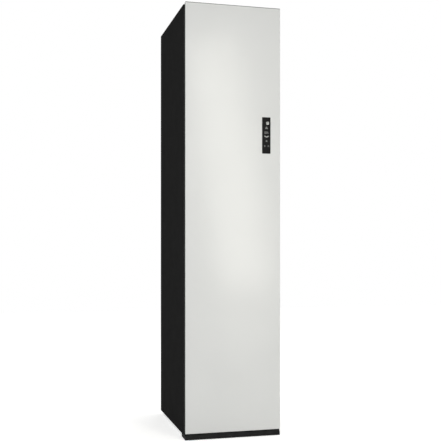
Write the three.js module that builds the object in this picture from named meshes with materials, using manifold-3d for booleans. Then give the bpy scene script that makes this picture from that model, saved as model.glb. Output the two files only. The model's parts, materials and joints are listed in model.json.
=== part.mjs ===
// Clothes care steam cabinet: a tall narrow cabinet with a glass door, a hanging chamber with a shaking
// hanger rail, two water tanks and a small heat pump and steam generator below the chamber.
// Millimetres, +Z up, the door faces -Y, and the origin is on the floor under the middle of the cabinet.
import * as THREE from "three";
import { mergeVertices } from "three/addons/utils/BufferGeometryUtils.js";
import Module from "manifold-3d";

// Overall size of the closed cabinet
const WIDTH = 445;
const DEPTH = 615;
const HEIGHT = 1960;

// Sizes that many pieces share
const SHEET = 1.5;
const MOULDED = 2.5;
const SEAM = 0.3;
const OVERRUN = 6;
const WELD = 0.001;
const TURN_STEPS = 16;
const SMALL_STEPS = 8;
const ARC_STEPS = 2;

// Door: glass face, moulded frame, foam core, inner skin
const door = {
  glass: 4,
  frame: 27.5,
  skin: MOULDED,
  sealGap: 8,
  lift: 29,
  inset: 1,
  cornerRadius: 3,
  railHeight: 52,
  stileWidth: 32,
  stilePocket: 10,
  stileLip: 3.5,
  ground: 0.8,
  capLip: SHEET,
  railPockets: 4,
};
const grip = { width: 19, depth: 17, rearLip: 3.5, round: 4 };
const plug = { reach: 18.5, side: 12.5, end: 18, taper: 6 };
const gasket = { width: 10, fromMouth: 2.5, round: 2 };
const controls = {
  width: 40,
  height: 166,
  fromEdge: 46.3,
  bottom: 1292,
  cornerRadius: 3,
  board: 1.6,
  boardMargin: 5,
  boardBehind: 1.5,
  keys: 6,
  lamp: 3,
  pocketDepth: 10,
};
const hinge = {
  fromSide: 16,
  fromFront: 19.5,
  plate: 4,
  noseRadius: 8,
  noseBack: 16.5,
  tailWidth: 28,
  tailReach: 62,
  pinRadius: 4,
  pinReach: 30,
  runningGap: 0.05,
  recess: 20,
  recessWidth: 22.5,
  seat: 24,
};

// Casing
const casing = { lift: 17, flange: 18, ribDepth: 5, coverLip: 12 };
const pan = { lift: 2, edge: 24, footPadRaise: 4, footPadRadius: 22 };
const plinth = {
  wall: 2,
  floorGap: 1.5,
  top: 26,
  reach: 80,
  ledgeDrop: 0.3,
  cornerRadius: 4,
  bossWidth: 24,
  bossFromMiddle: 120,
  corner: 8,
};
const foot = {
  padRadius: 18,
  padHeight: 9,
  neckRadius: 11,
  studRadius: 5,
  studTop: 44,
  fromSide: 40,
  fromFront: 112,
  fromBack: 60,
};
const rear = { ribs: 2, ribWidth: 34, ribBottom: 420, ribEnd: 140, ribRound: 8 };
const service = {
  bottom: 44,
  top: 312,
  side: 34,
  lap: 10,
  louvres: 6,
  louvreWidth: 150,
  louvreHeight: 7,
  firstLouvre: 104,
};
const intake = { slots: 9, width: 7, bottom: 44, top: 84 };
const gland = { radius: 11, collar: 3, reach: 16, bore: 4.5, x: -120, z: 70 };

// Chamber
const chamber = {
  side: 30,
  floor: 334.5,
  overRoof: 112,
  behind: 95.5,
  wall: MOULDED,
  lip: 7.7,
  round: 14,
  ledge: 10,
  ledgeHeight: 16,
  ledgeTop: 460,
  ledgeFront: 60,
  ledgeBack: 30,
  ribs: 4,
  ribDepth: 2,
  ribWidth: 12,
  ribBottom: 560,
  ribDrop: 128,
  holeRound: 6,
};
const airSlots = { rows: 4, columns: 3, width: 44, height: 6, pitchX: 56, pitchZ: 14, drop: 48 };
const duct = { halfWidth: 92, depth: 42, drop: 26, wall: 2 };
const foam = { back: 30 };
const vent = {
  halfX: 70,
  halfY: 26,
  fromBack: 62,
  flange: 8,
  rise: 4,
  slats: 4,
  slat: 5,
  tilt: 3,
  spout: 24,
};
const lint = {
  halfX: 85,
  halfY: 22,
  y: -20,
  depth: 84,
  wall: 2,
  rim: 6,
  rimHeight: 5,
  round: 6,
  gap: 1,
  slots: 5,
  handle: 26,
  handleBar: 4,
};
const aroma = { fromSide: 52.5, halfX: 26, halfY: 40, y: 40, height: 34, wall: 2, slots: 5, round: 8 };
const shelf = { height: 16, sideGap: 2.5, frontGap: 40, backGap: 12, rim: 16, web: 5, slots: 9, bars: 2 };

// Hanger rail and the drive that shakes it
const rail = {
  y: -20,
  drop: 62,
  endGap: 28.5,
  halfWidth: 6,
  halfHeight: 11,
  postInset: 46,
  postRadius: 7,
  travel: 20,
  slotGap: 1.5,
};
const guide = { height: 11, width: 12, fromRail: 36, fromSide: 46.5, tie: 8 };
const carriage = { plate: 4, overPost: 22, yokeHeight: 8, yokeHalfX: 22, yokeWall: 8, reliefHalf: 20 };
const crank = {
  radius: 52,
  flange: 3,
  flangeHeight: 3,
  belt: 12,
  throw: 20,
  pinRadius: 5,
  pinReach: 5,
  axleRadius: 6,
  hub: 13,
  windows: 4,
  windowRadius: 12,
  steps: 16,
};
const drive = {
  pulleyRadius: 13,
  spacing: 122,
  shaftRadius: 4,
  bossRadius: 11,
  bodyRadius: 36,
  bodyHeight: 36,
  lip: 4,
};
const belt = { thick: 2.5, sideGap: 0.4, clear: 0.6, steps: 16 };
const bridge = { plate: 3, halfWidth: 58, front: 62, back: 46, foot: 16, headroom: 3 };
const openPivotGap = 0.4;

// Hangers
const hanger = {
  spacing: 92,
  thick: 12,
  endGap: 33.75,
  shoulderDrop: 78,
  armHeight: 26,
  tipHeight: 15,
  wire: 3.5,
  straight: 32,
  bend: 22,
  stem: 10,
  tipFlare: 2,
  tipDrop: 5,
  curveSteps: 7,
  hookSteps: 6,
  wireSteps: 14,
  wireSides: 6,
};

// Tanks and their bay
const bay = {
  bottom: 112,
  top: 322,
  fromSide: 32.5,
  depthShare: 0.435,
  wall: MOULDED,
  divider: 4,
  lip: 12,
  valveX: 26,
  valveZ: 132,
};
const tank = {
  front: 44,
  height: 176,
  wall: 2.5,
  round: 12,
  gap: 3,
  seatGap: 0.3,
  backGap: 6,
  gripHalf: 34,
  gripHeight: 22,
  gripDepth: 14,
  gripDrop: 30,
  lid: 6,
  lidLap: 5,
  cap: 16,
  capHeight: 8,
};

// Heat pump, steam generator and electrics under the chamber
const compressor = {
  offset: 11,
  fromBay: 6,
  radius: 56,
  height: 168,
  dome: 24,
  shoulderShare: 0.87,
  weld: 2,
  flange: 66,
  flangeHeight: 4,
  pipe: 5,
  stubX: 20,
  stubRise: 18,
};
const exchanger = {
  x: -100,
  halfX: 78,
  bottom: 62,
  height: 150,
  depth: 34,
  fins: 8,
  fin: 4,
  tube: 4.5,
  loop: 11,
  rows: 4,
  bendSteps: 6,
  bendSides: 6,
  fromFan: 51.5,
  pitch: 50,
};
const fan = {
  x: -100,
  z: 165,
  depth: 41,
  wall: 2,
  radius: 74,
  growth: 10,
  spiralSteps: 18,
  inlet: 46,
  wheel: 64,
  wheelDepth: 26,
  wheelGap: 5,
  blades: 10,
  blade: 2,
  bladeReach: 16,
  leanShare: 0.05,
  hub: 14,
  shaft: 4,
  shaftGap: 2,
  motor: 34,
  motorDepth: 40,
  neck: 56,
  footHalf: 30,
};
const steamer = {
  offset: 3,
  halfX: 62,
  halfY: 32,
  bottom: 40,
  height: 92,
  round: 12,
  lid: 6,
  ribs: 1,
  rib: 4,
  spout: 10,
};
const pump = { x: -70, fromFront: 115.5, radius: 26, height: 44, baseHeight: 6, spout: 7, spoutReach: 26 };
const electrics = {
  offset: -17,
  halfX: 62,
  fromBack: 63.5,
  halfY: 26,
  height: 200,
  wall: 2,
  lid: 4,
  rib: 4,
  ribs: 5,
};
const hose = { radius: 7, bore: 4, straight: 16, steps: 12, sides: 6 };

// Places worked out from the sizes above
const halfWidth = WIDTH / 2;
const frontY = -DEPTH / 2;
const backY = DEPTH / 2;
const glassBack = frontY + door.glass;
const frameBack = glassBack + door.frame;
const doorBack = frameBack + door.skin;
const cabinetFront = doorBack + door.sealGap;
const panelBack = backY - casing.ribDepth;
const panelFront = panelBack - SHEET;
const topPlate = HEIGHT - SHEET;
const panBottom = casing.lift + pan.lift;
const panTop = panBottom + SHEET;
const chamberRoof = HEIGHT - chamber.overRoof;
const chamberBack = backY - chamber.behind;
const mouthX = halfWidth - chamber.side;
const linerX = mouthX + chamber.wall;
const linerRoof = chamberRoof + chamber.wall;
const linerFloor = chamber.floor - chamber.wall;
const linerBack = chamberBack + chamber.wall;
const linerFront = cabinetFront;
const flangeX = halfWidth - casing.flange - SHEET;
const pivotX = -halfWidth + hinge.fromSide;
const pivotY = frontY + hinge.fromFront;
const ledgeBottom = chamber.ledgeTop - chamber.ledgeHeight;
const tailBack = pivotY + hinge.tailReach;
const recessFloor = HEIGHT - hinge.recess;
const topPlateZ = recessFloor + hinge.recess / 2 - hinge.plate / 2;
const bottomPlateZ = panTop;
const recessX = pivotX + hinge.recessWidth;
const ventY = chamberBack - vent.fromBack;
const aromaX = mouthX - aroma.fromSide;
const railZ = chamberRoof - rail.drop;
const railHalf = mouthX - rail.endGap;
const postX = railHalf - rail.postInset;
const guideHalf = halfWidth - guide.fromSide;
const carriageHalf = postX + carriage.overPost;
const hangerHalf = (chamberBack - cabinetFront) / 2 - hanger.endGap;
const baySide = halfWidth - bay.fromSide;
const bayBack = cabinetFront + (chamberBack - cabinetFront) * bay.depthShare;
const fanBack = linerBack + duct.depth;
const fanFront = fanBack - fan.depth;
const condenserY = fanFront - exchanger.fromFan - exchanger.depth;
const evaporatorY = condenserY - exchanger.pitch;
const exchangerEnd = exchanger.x + exchanger.halfX + exchanger.loop * 1.5 + exchanger.tube;
const machineX = (exchangerEnd + flangeX) / 2;
const compressorX = machineX + compressor.offset;
const steamerX = machineX + steamer.offset;
const electricsX = machineX + electrics.offset;
const compressorY = bayBack + compressor.fromBay + compressor.flange;
const electricsY = backY - electrics.fromBack;
const electricsFront = electricsY - electrics.halfY - electrics.rib;
const steamerY = (compressorY + compressor.flange + electricsFront) / 2;
const pumpY = cabinetFront + pump.fromFront;

const wasm = await Module();
wasm.setup();
const cabinet = new THREE.Group();

// A closed three.js geometry as a solid that can be joined and cut.
function solid(geometry) {
  const bare = geometry.index ? geometry.toNonIndexed() : geometry.clone();
  bare.deleteAttribute("normal");
  bare.deleteAttribute("uv");
  const merged = mergeVertices(bare, WELD);
  const corners = merged.index.array;
  const kept = [];
  for (let i = 0; i < corners.length; i += 3) {
    const [a, b, c] = corners.slice(i, i + 3);
    if (a !== b && b !== c && c !== a) kept.push(a, b, c);
  }
  const build = (triVerts) =>
    new wasm.Manifold(
      new wasm.Mesh({
        numProp: 3,
        vertProperties: merged.attributes.position.array,
        triVerts: new Uint32Array(triVerts),
      }),
    );
  const made = build(kept);
  return made.volume() > 0 ? made : build(kept.reverse());
}

// An outline from corner points, or a shape as it is.
function outlineOf(points) {
  if (!Array.isArray(points)) return points;
  return new THREE.Shape(points.map(([a, b]) => new THREE.Vector2(a, b)));
}

// A prism: an outline drawn across an axis and pushed along it. Outlines are (y, z), (x, z) or (x, y).
function prism(axis, outline, from, to, curveSteps = ARC_STEPS) {
  const geometry = new THREE.ExtrudeGeometry(outlineOf(outline), {
    depth: to - from,
    bevelEnabled: false,
    curveSegments: curveSteps,
  });
  if (axis === "y") {
    geometry.translate(0, 0, -to);
    geometry.rotateX(Math.PI / 2);
  } else {
    geometry.translate(0, 0, from);
  }
  if (axis === "x") {
    geometry.rotateX(Math.PI / 2);
    geometry.rotateZ(Math.PI / 2);
  }
  return solid(geometry);
}

// A box between two places on each axis.
function block([x0, x1], [y0, y1], [z0, z1]) {
  const box = new THREE.BoxGeometry(Math.abs(x1 - x0), Math.abs(y1 - y0), Math.abs(z1 - z0));
  box.translate((x0 + x1) / 2, (y0 + y1) / 2, (z0 + z1) / 2);
  return solid(box);
}

// The two ends of a span around its middle.
function around(middle, half) {
  return [middle - half, middle + half];
}

// Points of a circle, or of the arc between two angles.
function circle(a, b, radius, steps = TURN_STEPS, start = 0, end = 2 * Math.PI) {
  const whole = end - start > 2 * Math.PI - WELD;
  const count = whole ? steps : steps + 1;
  return Array.from({ length: count }, (_, i) => {
    const angle = start + ((end - start) * i) / steps;
    return [a + radius * Math.cos(angle), b + radius * Math.sin(angle)];
  });
}

// A round bar along an axis.
function rod(axis, [a, b], radius, from, to, steps = TURN_STEPS) {
  return prism(axis, circle(a, b, radius, steps), from, to);
}

// The radius of a many-sided hole whose flats clear a shaft.
function bore(radius, gap, steps = TURN_STEPS) {
  return (radius + gap) / Math.cos(Math.PI / steps);
}

// A rectangle with round corners.
function rounded([a0, a1], [b0, b1], radius) {
  const shape = new THREE.Shape();
  shape.absarc(a1 - radius, b0 + radius, radius, -Math.PI / 2, 0);
  shape.absarc(a1 - radius, b1 - radius, radius, 0, Math.PI / 2);
  shape.absarc(a0 + radius, b1 - radius, radius, Math.PI / 2, Math.PI);
  shape.absarc(a0 + radius, b0 + radius, radius, Math.PI, 1.5 * Math.PI);
  return shape;
}

// A turned piece: a profile of (radius, height) points round an upright line or one along Y.
function turned(axis, [x, y, z], profile, steps = TURN_STEPS) {
  const points = profile.map(([radius, height]) => new THREE.Vector2(radius, height));
  const geometry = new THREE.LatheGeometry(points, steps);
  if (axis === "z") geometry.rotateX(Math.PI / 2);
  geometry.translate(x, y, z);
  return solid(geometry);
}

// A round tube or wire along a smooth path.
function tube(points, radius, steps, sides) {
  const path = new THREE.CatmullRomCurve3(points.map((p) => new THREE.Vector3(...p)), false, "centripetal");
  const shape = outlineOf(circle(0, 0, radius, sides));
  return solid(new THREE.ExtrudeGeometry(shape, { steps, extrudePath: path }));
}

// Several solids joined into one.
function join(...pieces) {
  return pieces.flat().reduce((sum, piece) => sum.add(piece));
}

// A solid with others cut out of it.
function cut(body, ...tools) {
  return tools.flat().reduce((left, tool) => left.subtract(tool), body);
}

// A list made by calling a function for each number from zero.
function repeat(count, make) {
  return Array.from({ length: count }, (_, i) => make(i));
}

// Adds one named piece to the cabinet in its own material.
function add(name, body, [colour, roughness, metalness]) {
  const { vertProperties, triVerts } = body.getMesh();
  const geometry = new THREE.BufferGeometry();
  geometry.setAttribute("position", new THREE.BufferAttribute(vertProperties, 3));
  geometry.setIndex(new THREE.BufferAttribute(triVerts, 1));
  geometry.computeVertexNormals();
  const material = new THREE.MeshStandardMaterial({ color: colour, roughness, metalness });
  const mesh = new THREE.Mesh(geometry, material);
  mesh.name = name;
  cabinet.add(mesh);
}

// Finishes: colour, roughness, metalness
const paleGlass = [0xe0e1dc, 0.12, 0];
const blackGlass = [0x101010, 0.1, 0];
const blackPaint = [0x202020, 0.42, 0.1];
const blackPlastic = [0x262626, 0.5, 0];
const greyPlastic = [0x8b8e90, 0.5, 0];
const whitePlastic = [0xd9dbdc, 0.45, 0];
const smokedPlastic = [0x5d6468, 0.25, 0];
const foamWhite = [0xe9e6dc, 0.95, 0];
const zincSteel = [0xb4b8ba, 0.4, 0.9];
const bareSteel = [0xc2c4c6, 0.3, 1];
const finStock = [0xcfd3d6, 0.35, 1];
const rubberBlack = [0x1b1b1b, 0.8, 0];
const boardGreen = [0x1f5a3c, 0.5, 0];

// The slot that a hinge plate passes through at the front of the casing
function hingePassage(plateZ) {
  const x = [pivotX - hinge.noseRadius - SEAM, pivotX + hinge.tailWidth - hinge.noseRadius + SEAM];
  const y = [cabinetFront - OVERRUN, cabinetFront + 2 * SHEET + OVERRUN];
  return block(x, y, [plateZ - SEAM, plateZ + hinge.plate + SEAM]);
}
const passages = [hingePassage(topPlateZ), hingePassage(bottomPlateZ)];

// Side panels: one bent sheet each, with a flange at the front and at the back
function sidePanel(side) {
  const rearFlange = panelFront - SHEET;
  const outline = [
    [halfWidth, cabinetFront],
    [halfWidth, panelFront],
    [flangeX, panelFront],
    [flangeX, rearFlange],
    [halfWidth - SHEET, rearFlange],
    [halfWidth - SHEET, cabinetFront + SHEET],
    [flangeX, cabinetFront + SHEET],
    [flangeX, cabinetFront],
  ].map(([x, y]) => [side * x, y]);
  return cut(prism("z", outline, casing.lift, topPlate), passages);
}
add("side_panel_left", sidePanel(-1), blackPaint);
add("side_panel_right", sidePanel(1), blackPaint);

// A folded rim that fits inside the side panels, open in the middle
function foldedRim([z0, z1]) {
  const x = halfWidth - SHEET - SEAM;
  const y = [cabinetFront + SHEET + SEAM, panelFront - SHEET - SEAM];
  const inside = block([SHEET - x, x - SHEET], [y[0] + SHEET, y[1] - SHEET], [z0 - OVERRUN, z1 + OVERRUN]);
  return cut(block([-x, x], y, [z0, z1]), inside);
}

// Top cover: a plate over the whole casing with a rim folded down inside it
const coverPlate = block([-halfWidth, halfWidth], [cabinetFront, panelBack], [topPlate, HEIGHT]);
const coverRim = foldedRim([topPlate - casing.coverLip, topPlate]);
add("top_cover", join(coverPlate, cut(coverRim, passages)), blackPaint);

// Base pan: a tray inside the side panels with raised seats for the feet
const footPlaces = [
  [-halfWidth + foot.fromSide, frontY + foot.fromFront],
  [halfWidth - foot.fromSide, frontY + foot.fromFront],
  [-halfWidth + foot.fromSide, backY - foot.fromBack],
  [halfWidth - foot.fromSide, backY - foot.fromBack],
];
function basePan() {
  const x = halfWidth - SHEET - SEAM;
  const y = [cabinetFront + SHEET + SEAM, panelFront - SHEET - SEAM];
  const plate = block([-x, x], y, [panBottom, panTop]);
  const seats = footPlaces.map((place) => {
    return rod("z", place, pan.footPadRadius, panBottom, panTop + pan.footPadRaise, SMALL_STEPS);
  });
  const holeTop = panTop + pan.footPadRaise + OVERRUN;
  const holes = footPlaces.map((place) => {
    return rod("z", place, bore(foot.studRadius, SEAM, SMALL_STEPS), casing.lift, holeTop, SMALL_STEPS);
  });
  const rim = foldedRim([panBottom, panBottom + pan.edge]);
  return cut(join(plate, rim, seats), holes, passages[1]);
}
add("base_pan", basePan(), zincSteel);

// Levelling feet: a pad, a neck that bears on the pan and a threaded stud
function levellingFoot(place) {
  const pad = [
    [0, 0],
    [foot.padRadius - foot.padHeight / 3, 0],
    [foot.padRadius, foot.padHeight / 3],
    [foot.neckRadius, foot.padHeight],
    [foot.neckRadius, panBottom],
    [foot.studRadius, panBottom],
    [foot.studRadius, foot.studTop],
    [0, foot.studTop],
  ];
  return turned("z", [...place, 0], pad, SMALL_STEPS);
}
const footNames = ["foot_front_left", "foot_front_right", "foot_rear_left", "foot_rear_right"];
footNames.forEach((name, i) => add(name, levellingFoot(footPlaces[i]), blackPlastic));

// Plinth: a kick board under the door with returns along the sides and a ledge under the pan
function frontPlinth() {
  const back = frontY + plinth.reach;
  const ledgeTop = casing.lift - plinth.ledgeDrop;
  const outer = (inset) => {
    const x = [inset - halfWidth, halfWidth - inset];
    return rounded(x, [frontY + inset, back + plinth.cornerRadius], plinth.cornerRadius);
  };
  const rearTrim = block([-WIDTH, WIDTH], [back, back + OVERRUN + plinth.cornerRadius], [0, HEIGHT]);
  const skirt = cut(
    prism("z", outer(0), plinth.floorGap, ledgeTop),
    prism("z", outer(plinth.wall), plinth.floorGap - OVERRUN, ledgeTop - plinth.wall),
    rearTrim,
  );
  const front = cut(
    prism("z", outer(0), plinth.floorGap, plinth.top),
    prism("z", outer(plinth.wall), plinth.floorGap - OVERRUN, plinth.top + OVERRUN),
    block([-WIDTH, WIDTH], [cabinetFront - SEAM, backY], [0, HEIGHT]),
  );
  const corners = [-1, 1].map((side) => {
    const outline = [
      [side * (halfWidth - plinth.corner), plinth.top],
      [side * (halfWidth + OVERRUN), plinth.top + OVERRUN],
      [side * (halfWidth + OVERRUN), plinth.top - plinth.corner - OVERRUN],
    ];
    return prism("y", outline, frontY - OVERRUN, frontY + plinth.corner);
  });
  const bosses = [-1, 1].map((side) => {
    const x = around(side * plinth.bossFromMiddle, plinth.bossWidth / 2);
    return block(x, [back - plinth.bossWidth, back], [ledgeTop - plinth.wall, panBottom]);
  });
  return join(cut(join(skirt, front), corners), bosses);
}
add("front_plinth", frontPlinth(), blackPlastic);

// Rear panel: a flat sheet with two pressed beads and a service opening
const serviceX = halfWidth - service.side;
function rearPanel() {
  const sheet = block([-halfWidth, halfWidth], [panelFront, panelBack], [casing.lift, topPlate]);
  const pitch = WIDTH / (rear.ribs + 1);
  const z = [rear.ribBottom, topPlate - rear.ribEnd];
  const bead = (i, inset, y) => {
    const x = around(-halfWidth + pitch * (i + 1), rear.ribWidth / 2 - inset);
    return prism("y", rounded(x, [z[0] + inset, z[1] - inset], rear.ribRound - inset), ...y);
  };
  const beads = repeat(rear.ribs, (i) => bead(i, 0, [panelFront, backY]));
  const hollows = repeat(rear.ribs, (i) => bead(i, SHEET, [panelFront - OVERRUN, backY - SHEET]));
  const x = serviceX - service.lap;
  const z0 = [service.bottom + service.lap, service.top - service.lap];
  const opening = block([-x, x], [panelFront - OVERRUN, panelBack + OVERRUN], z0);
  return cut(join(sheet, beads), hollows, opening);
}
add("rear_panel", rearPanel(), zincSteel);

// Rear service cover: a sheet with two columns of hooded louvres and a hole for the cord gland
function serviceCover() {
  const plateBack = panelBack + SHEET;
  const sheet = block([-serviceX, serviceX], [panelBack, plateBack], [service.bottom, service.top]);
  const pitch = service.louvreHeight * 3;
  const hood = (column, row) => {
    const x = around((column * serviceX) / 2, service.louvreWidth / 2);
    const z = service.firstLouvre + row * pitch;
    const throat = z + service.louvreHeight - 2 * SHEET;
    const outside = [
      [plateBack, z],
      [backY, z],
      [plateBack, z + service.louvreHeight],
    ];
    const inside = [
      [panelBack - OVERRUN, z - SEAM],
      [backY - SHEET, z - SEAM],
      [plateBack, throat],
      [panelBack - OVERRUN, throat],
    ];
    return { outside: prism("x", outside, ...x), inside: prism("x", inside, x[0] + SHEET, x[1] - SHEET) };
  };
  const hoods = [-1, 1].flatMap((column) => repeat(service.louvres, (row) => hood(column, row)));
  const holeRadius = bore(gland.radius - gland.collar, SEAM, SMALL_STEPS);
  const hole = rod("y", [gland.x, gland.z], holeRadius, panelBack - OVERRUN, backY + OVERRUN, SMALL_STEPS);
  return cut(join(sheet, hoods.map((h) => h.outside)), hoods.map((h) => h.inside), hole);
}
add("rear_service_cover", serviceCover(), blackPaint);

// Cord gland: the bush in the service cover where the supply enters
function cordGland() {
  const face = panelBack + SHEET;
  const profile = [
    [gland.bore, -gland.reach],
    [gland.radius - gland.collar, -gland.reach],
    [gland.radius - gland.collar, 0],
    [gland.radius, 0],
    [gland.radius, gland.collar],
    [gland.bore, gland.collar],
    [gland.bore, -gland.reach],
  ];
  return turned("y", [gland.x, face, gland.z], profile, SMALL_STEPS);
}
add("cord_gland", cordGland(), rubberBlack);

// Header panel: closes the drive space above the chamber
const linerLipTop = linerRoof + chamber.lip;
const linerLipBottom = linerFloor - chamber.lip;
const frontPanelX = flangeX - SEAM;
function frontSheet([z0, z1]) {
  return block([-frontPanelX, frontPanelX], [cabinetFront, cabinetFront + SHEET], [z0, z1]);
}
const headerZ = linerLipTop + SEAM;
const headerFold = block(
  [-frontPanelX, frontPanelX],
  [cabinetFront, cabinetFront + casing.coverLip],
  [headerZ, headerZ + SHEET],
);
add("header_panel", cut(join(frontSheet([headerZ, topPlate]), headerFold), passages), blackPaint);

// Front service panel: closes the machine space below the tank bay, with a row of air slots
const bayLipBottom = bay.bottom - bay.lip;
function servicePanel() {
  const pitch = (2 * frontPanelX) / (intake.slots + 1);
  const slots = repeat(intake.slots, (i) => {
    const x = around(-frontPanelX + pitch * (i + 1), intake.width / 2);
    const y = [cabinetFront - OVERRUN, cabinetFront + SHEET + OVERRUN];
    return block(x, y, [intake.bottom, intake.top]);
  });
  return cut(frontSheet([panBottom, bayLipBottom - SEAM]), slots, passages);
}
add("front_service_panel", servicePanel(), blackPaint);

// Chamber liner: a moulded box open at the front, with shelf ledges, side ribs, air slots in the back wall,
// slots in the roof for the rail posts and openings in the floor for the steam vent and the lint filter
function chamberLiner() {
  const outside = rounded([-linerX, linerX], [linerFloor, linerRoof], chamber.round);
  const inside = rounded([-mouthX, mouthX], [chamber.floor, chamberRoof], chamber.round - chamber.wall);
  const lip = rounded([-frontPanelX, frontPanelX], [linerLipBottom, linerLipTop], chamber.round);
  const shell = join(
    prism("y", outside, linerFront, linerBack),
    prism("y", lip, linerFront, linerFront + chamber.wall),
  );
  const hollow = prism("y", inside, linerFront - OVERRUN, chamberBack);
  const inWall = mouthX + chamber.wall / 2;
  const ledge = (side) => {
    const outline = [
      [side * inWall, chamber.ledgeTop],
      [side * (mouthX - chamber.ledge), chamber.ledgeTop],
      [side * (mouthX - chamber.ledge), chamber.ledgeTop - chamber.wall],
      [side * inWall, ledgeBottom],
    ];
    return prism("y", outline, linerFront + chamber.ledgeFront, chamberBack - chamber.ledgeBack);
  };
  const ribPitch = (chamberBack - linerFront) / (chamber.ribs + 1);
  const rib = (side, i) => {
    const y = linerFront + ribPitch * (i + 1);
    const foot = chamber.ribWidth / 2;
    const outline = [
      [side * inWall, y - foot],
      [side * inWall, y + foot],
      [side * (mouthX - chamber.ribDepth), y + foot - chamber.ribDepth],
      [side * (mouthX - chamber.ribDepth), y - foot + chamber.ribDepth],
    ];
    return prism("z", outline, chamber.ribBottom, chamberRoof - chamber.ribDrop);
  };
  const additions = [-1, 1].flatMap((side) => [ledge(side), ...repeat(chamber.ribs, (i) => rib(side, i))]);
  const throughBack = [chamberBack - OVERRUN, linerBack + OVERRUN];
  const airSlot = (row, column) => {
    const x = around((column - (airSlots.columns - 1) / 2) * airSlots.pitchX, airSlots.width / 2);
    const z = around(chamberRoof - airSlots.drop - row * airSlots.pitchZ, airSlots.height / 2);
    return block(x, throughBack, z);
  };
  const slots = repeat(airSlots.rows, (row) => {
    return repeat(airSlots.columns, (column) => airSlot(row, column));
  }).flat();
  const throughRoof = [chamberRoof - OVERRUN, linerRoof + OVERRUN];
  const postRun = rail.travel + rail.postRadius + rail.slotGap;
  const postSlots = [-1, 1].map((side) => {
    const y = around(rail.y, rail.postRadius + rail.slotGap);
    return prism("z", rounded(around(side * postX, postRun), y, rail.postRadius), ...throughRoof);
  });
  const throughFloor = [linerFloor - OVERRUN, chamber.floor + OVERRUN];
  const floorHole = (halfX, y, halfY, x = 0) => {
    return prism("z", rounded(around(x, halfX), around(y, halfY), chamber.holeRound), ...throughFloor);
  };
  const ventHole = floorHole(vent.halfX + SEAM, ventY, vent.halfY + SEAM);
  const lintHole = floorHole(lint.halfX + lint.gap, lint.y, lint.halfY + lint.gap);
  return cut(join(cut(shell, hollow), additions), slots, postSlots, ventHole, lintHole);
}
add("chamber_liner", chamberLiner(), greyPlastic);

// Foam jacket: round the back and both sides of the chamber
function foamJacket() {
  const inner = linerX + SEAM;
  const outer = halfWidth - SHEET - SEAM;
  const front = linerFront + chamber.wall + SEAM;
  const back = panelFront - SHEET - SEAM;
  const outline = [
    [-outer, front],
    [-inner, front],
    [-inner, back - foam.back],
    [inner, back - foam.back],
    [inner, front],
    [outer, front],
    [outer, back],
    [-outer, back],
  ];
  return prism("z", outline, linerFloor, linerRoof);
}
add("foam_jacket", foamJacket(), foamWhite);

// Rear air duct: a channel on the back of the liner that carries dry air up to the slots
function rearDuct() {
  const y = [linerBack, linerBack + duct.depth];
  const z = [linerFloor, chamberRoof - duct.drop];
  const channel = block([-duct.halfWidth, duct.halfWidth], y, z);
  const inner = duct.halfWidth - duct.wall;
  const bevel = duct.depth - duct.wall;
  const hollow = [
    [linerBack - OVERRUN, z[0] - OVERRUN],
    [linerBack + duct.depth - duct.wall, z[0] - OVERRUN],
    [linerBack + duct.depth - duct.wall, z[1] - duct.wall - bevel],
    [linerBack, z[1] - duct.wall],
    [linerBack - OVERRUN, z[1] - duct.wall],
  ];
  const slope = [
    [y[1] + OVERRUN, z[1] - bevel - OVERRUN],
    [y[1] + OVERRUN, z[1] + OVERRUN],
    [linerBack + duct.wall - OVERRUN, z[1] + OVERRUN],
  ];
  return cut(channel, prism("x", hollow, -inner, inner), prism("x", slope, -WIDTH, WIDTH));
}
add("rear_duct", rearDuct(), blackPlastic);

// Steam vent: a louvred insert in the chamber floor with a spout under it for the steam hose
const ventSpoutBottom = linerFloor - vent.spout;
function steamVent() {
  const outline = (inset) => {
    return rounded(around(0, vent.halfX - inset), around(ventY, vent.halfY - inset), chamber.holeRound);
  };
  const top = chamber.floor + vent.rise;
  const wellFloor = linerFloor - vent.flange + MOULDED;
  const rim = prism("z", outline(-vent.flange), chamber.floor, top);
  const body = prism("z", outline(0), linerFloor - vent.flange, top);
  const well = prism("z", outline(MOULDED), wellFloor, top + OVERRUN);
  const pitch = (2 * (vent.halfX - MOULDED)) / (vent.slats + 1);
  const slats = repeat(vent.slats, (i) => {
    const x = MOULDED - vent.halfX + pitch * (i + 1);
    const outline = [
      [x - vent.tilt, top - vent.slat - vent.rise],
      [x - vent.tilt + MOULDED, top - vent.slat - vent.rise],
      [x + vent.tilt + MOULDED, top],
      [x + vent.tilt, top],
    ];
    return prism("y", outline, ventY - vent.halfY + MOULDED / 2, ventY + vent.halfY - MOULDED / 2);
  });
  const spout = rod("z", [0, ventY], hose.radius, ventSpoutBottom, wellFloor, SMALL_STEPS);
  const spoutBore = rod("z", [0, ventY], hose.bore, ventSpoutBottom - OVERRUN, linerFloor, SMALL_STEPS);
  return cut(join(cut(join(rim, body), well), slats, spout), spoutBore);
}
add("steam_vent", steamVent(), blackPlastic);

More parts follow.
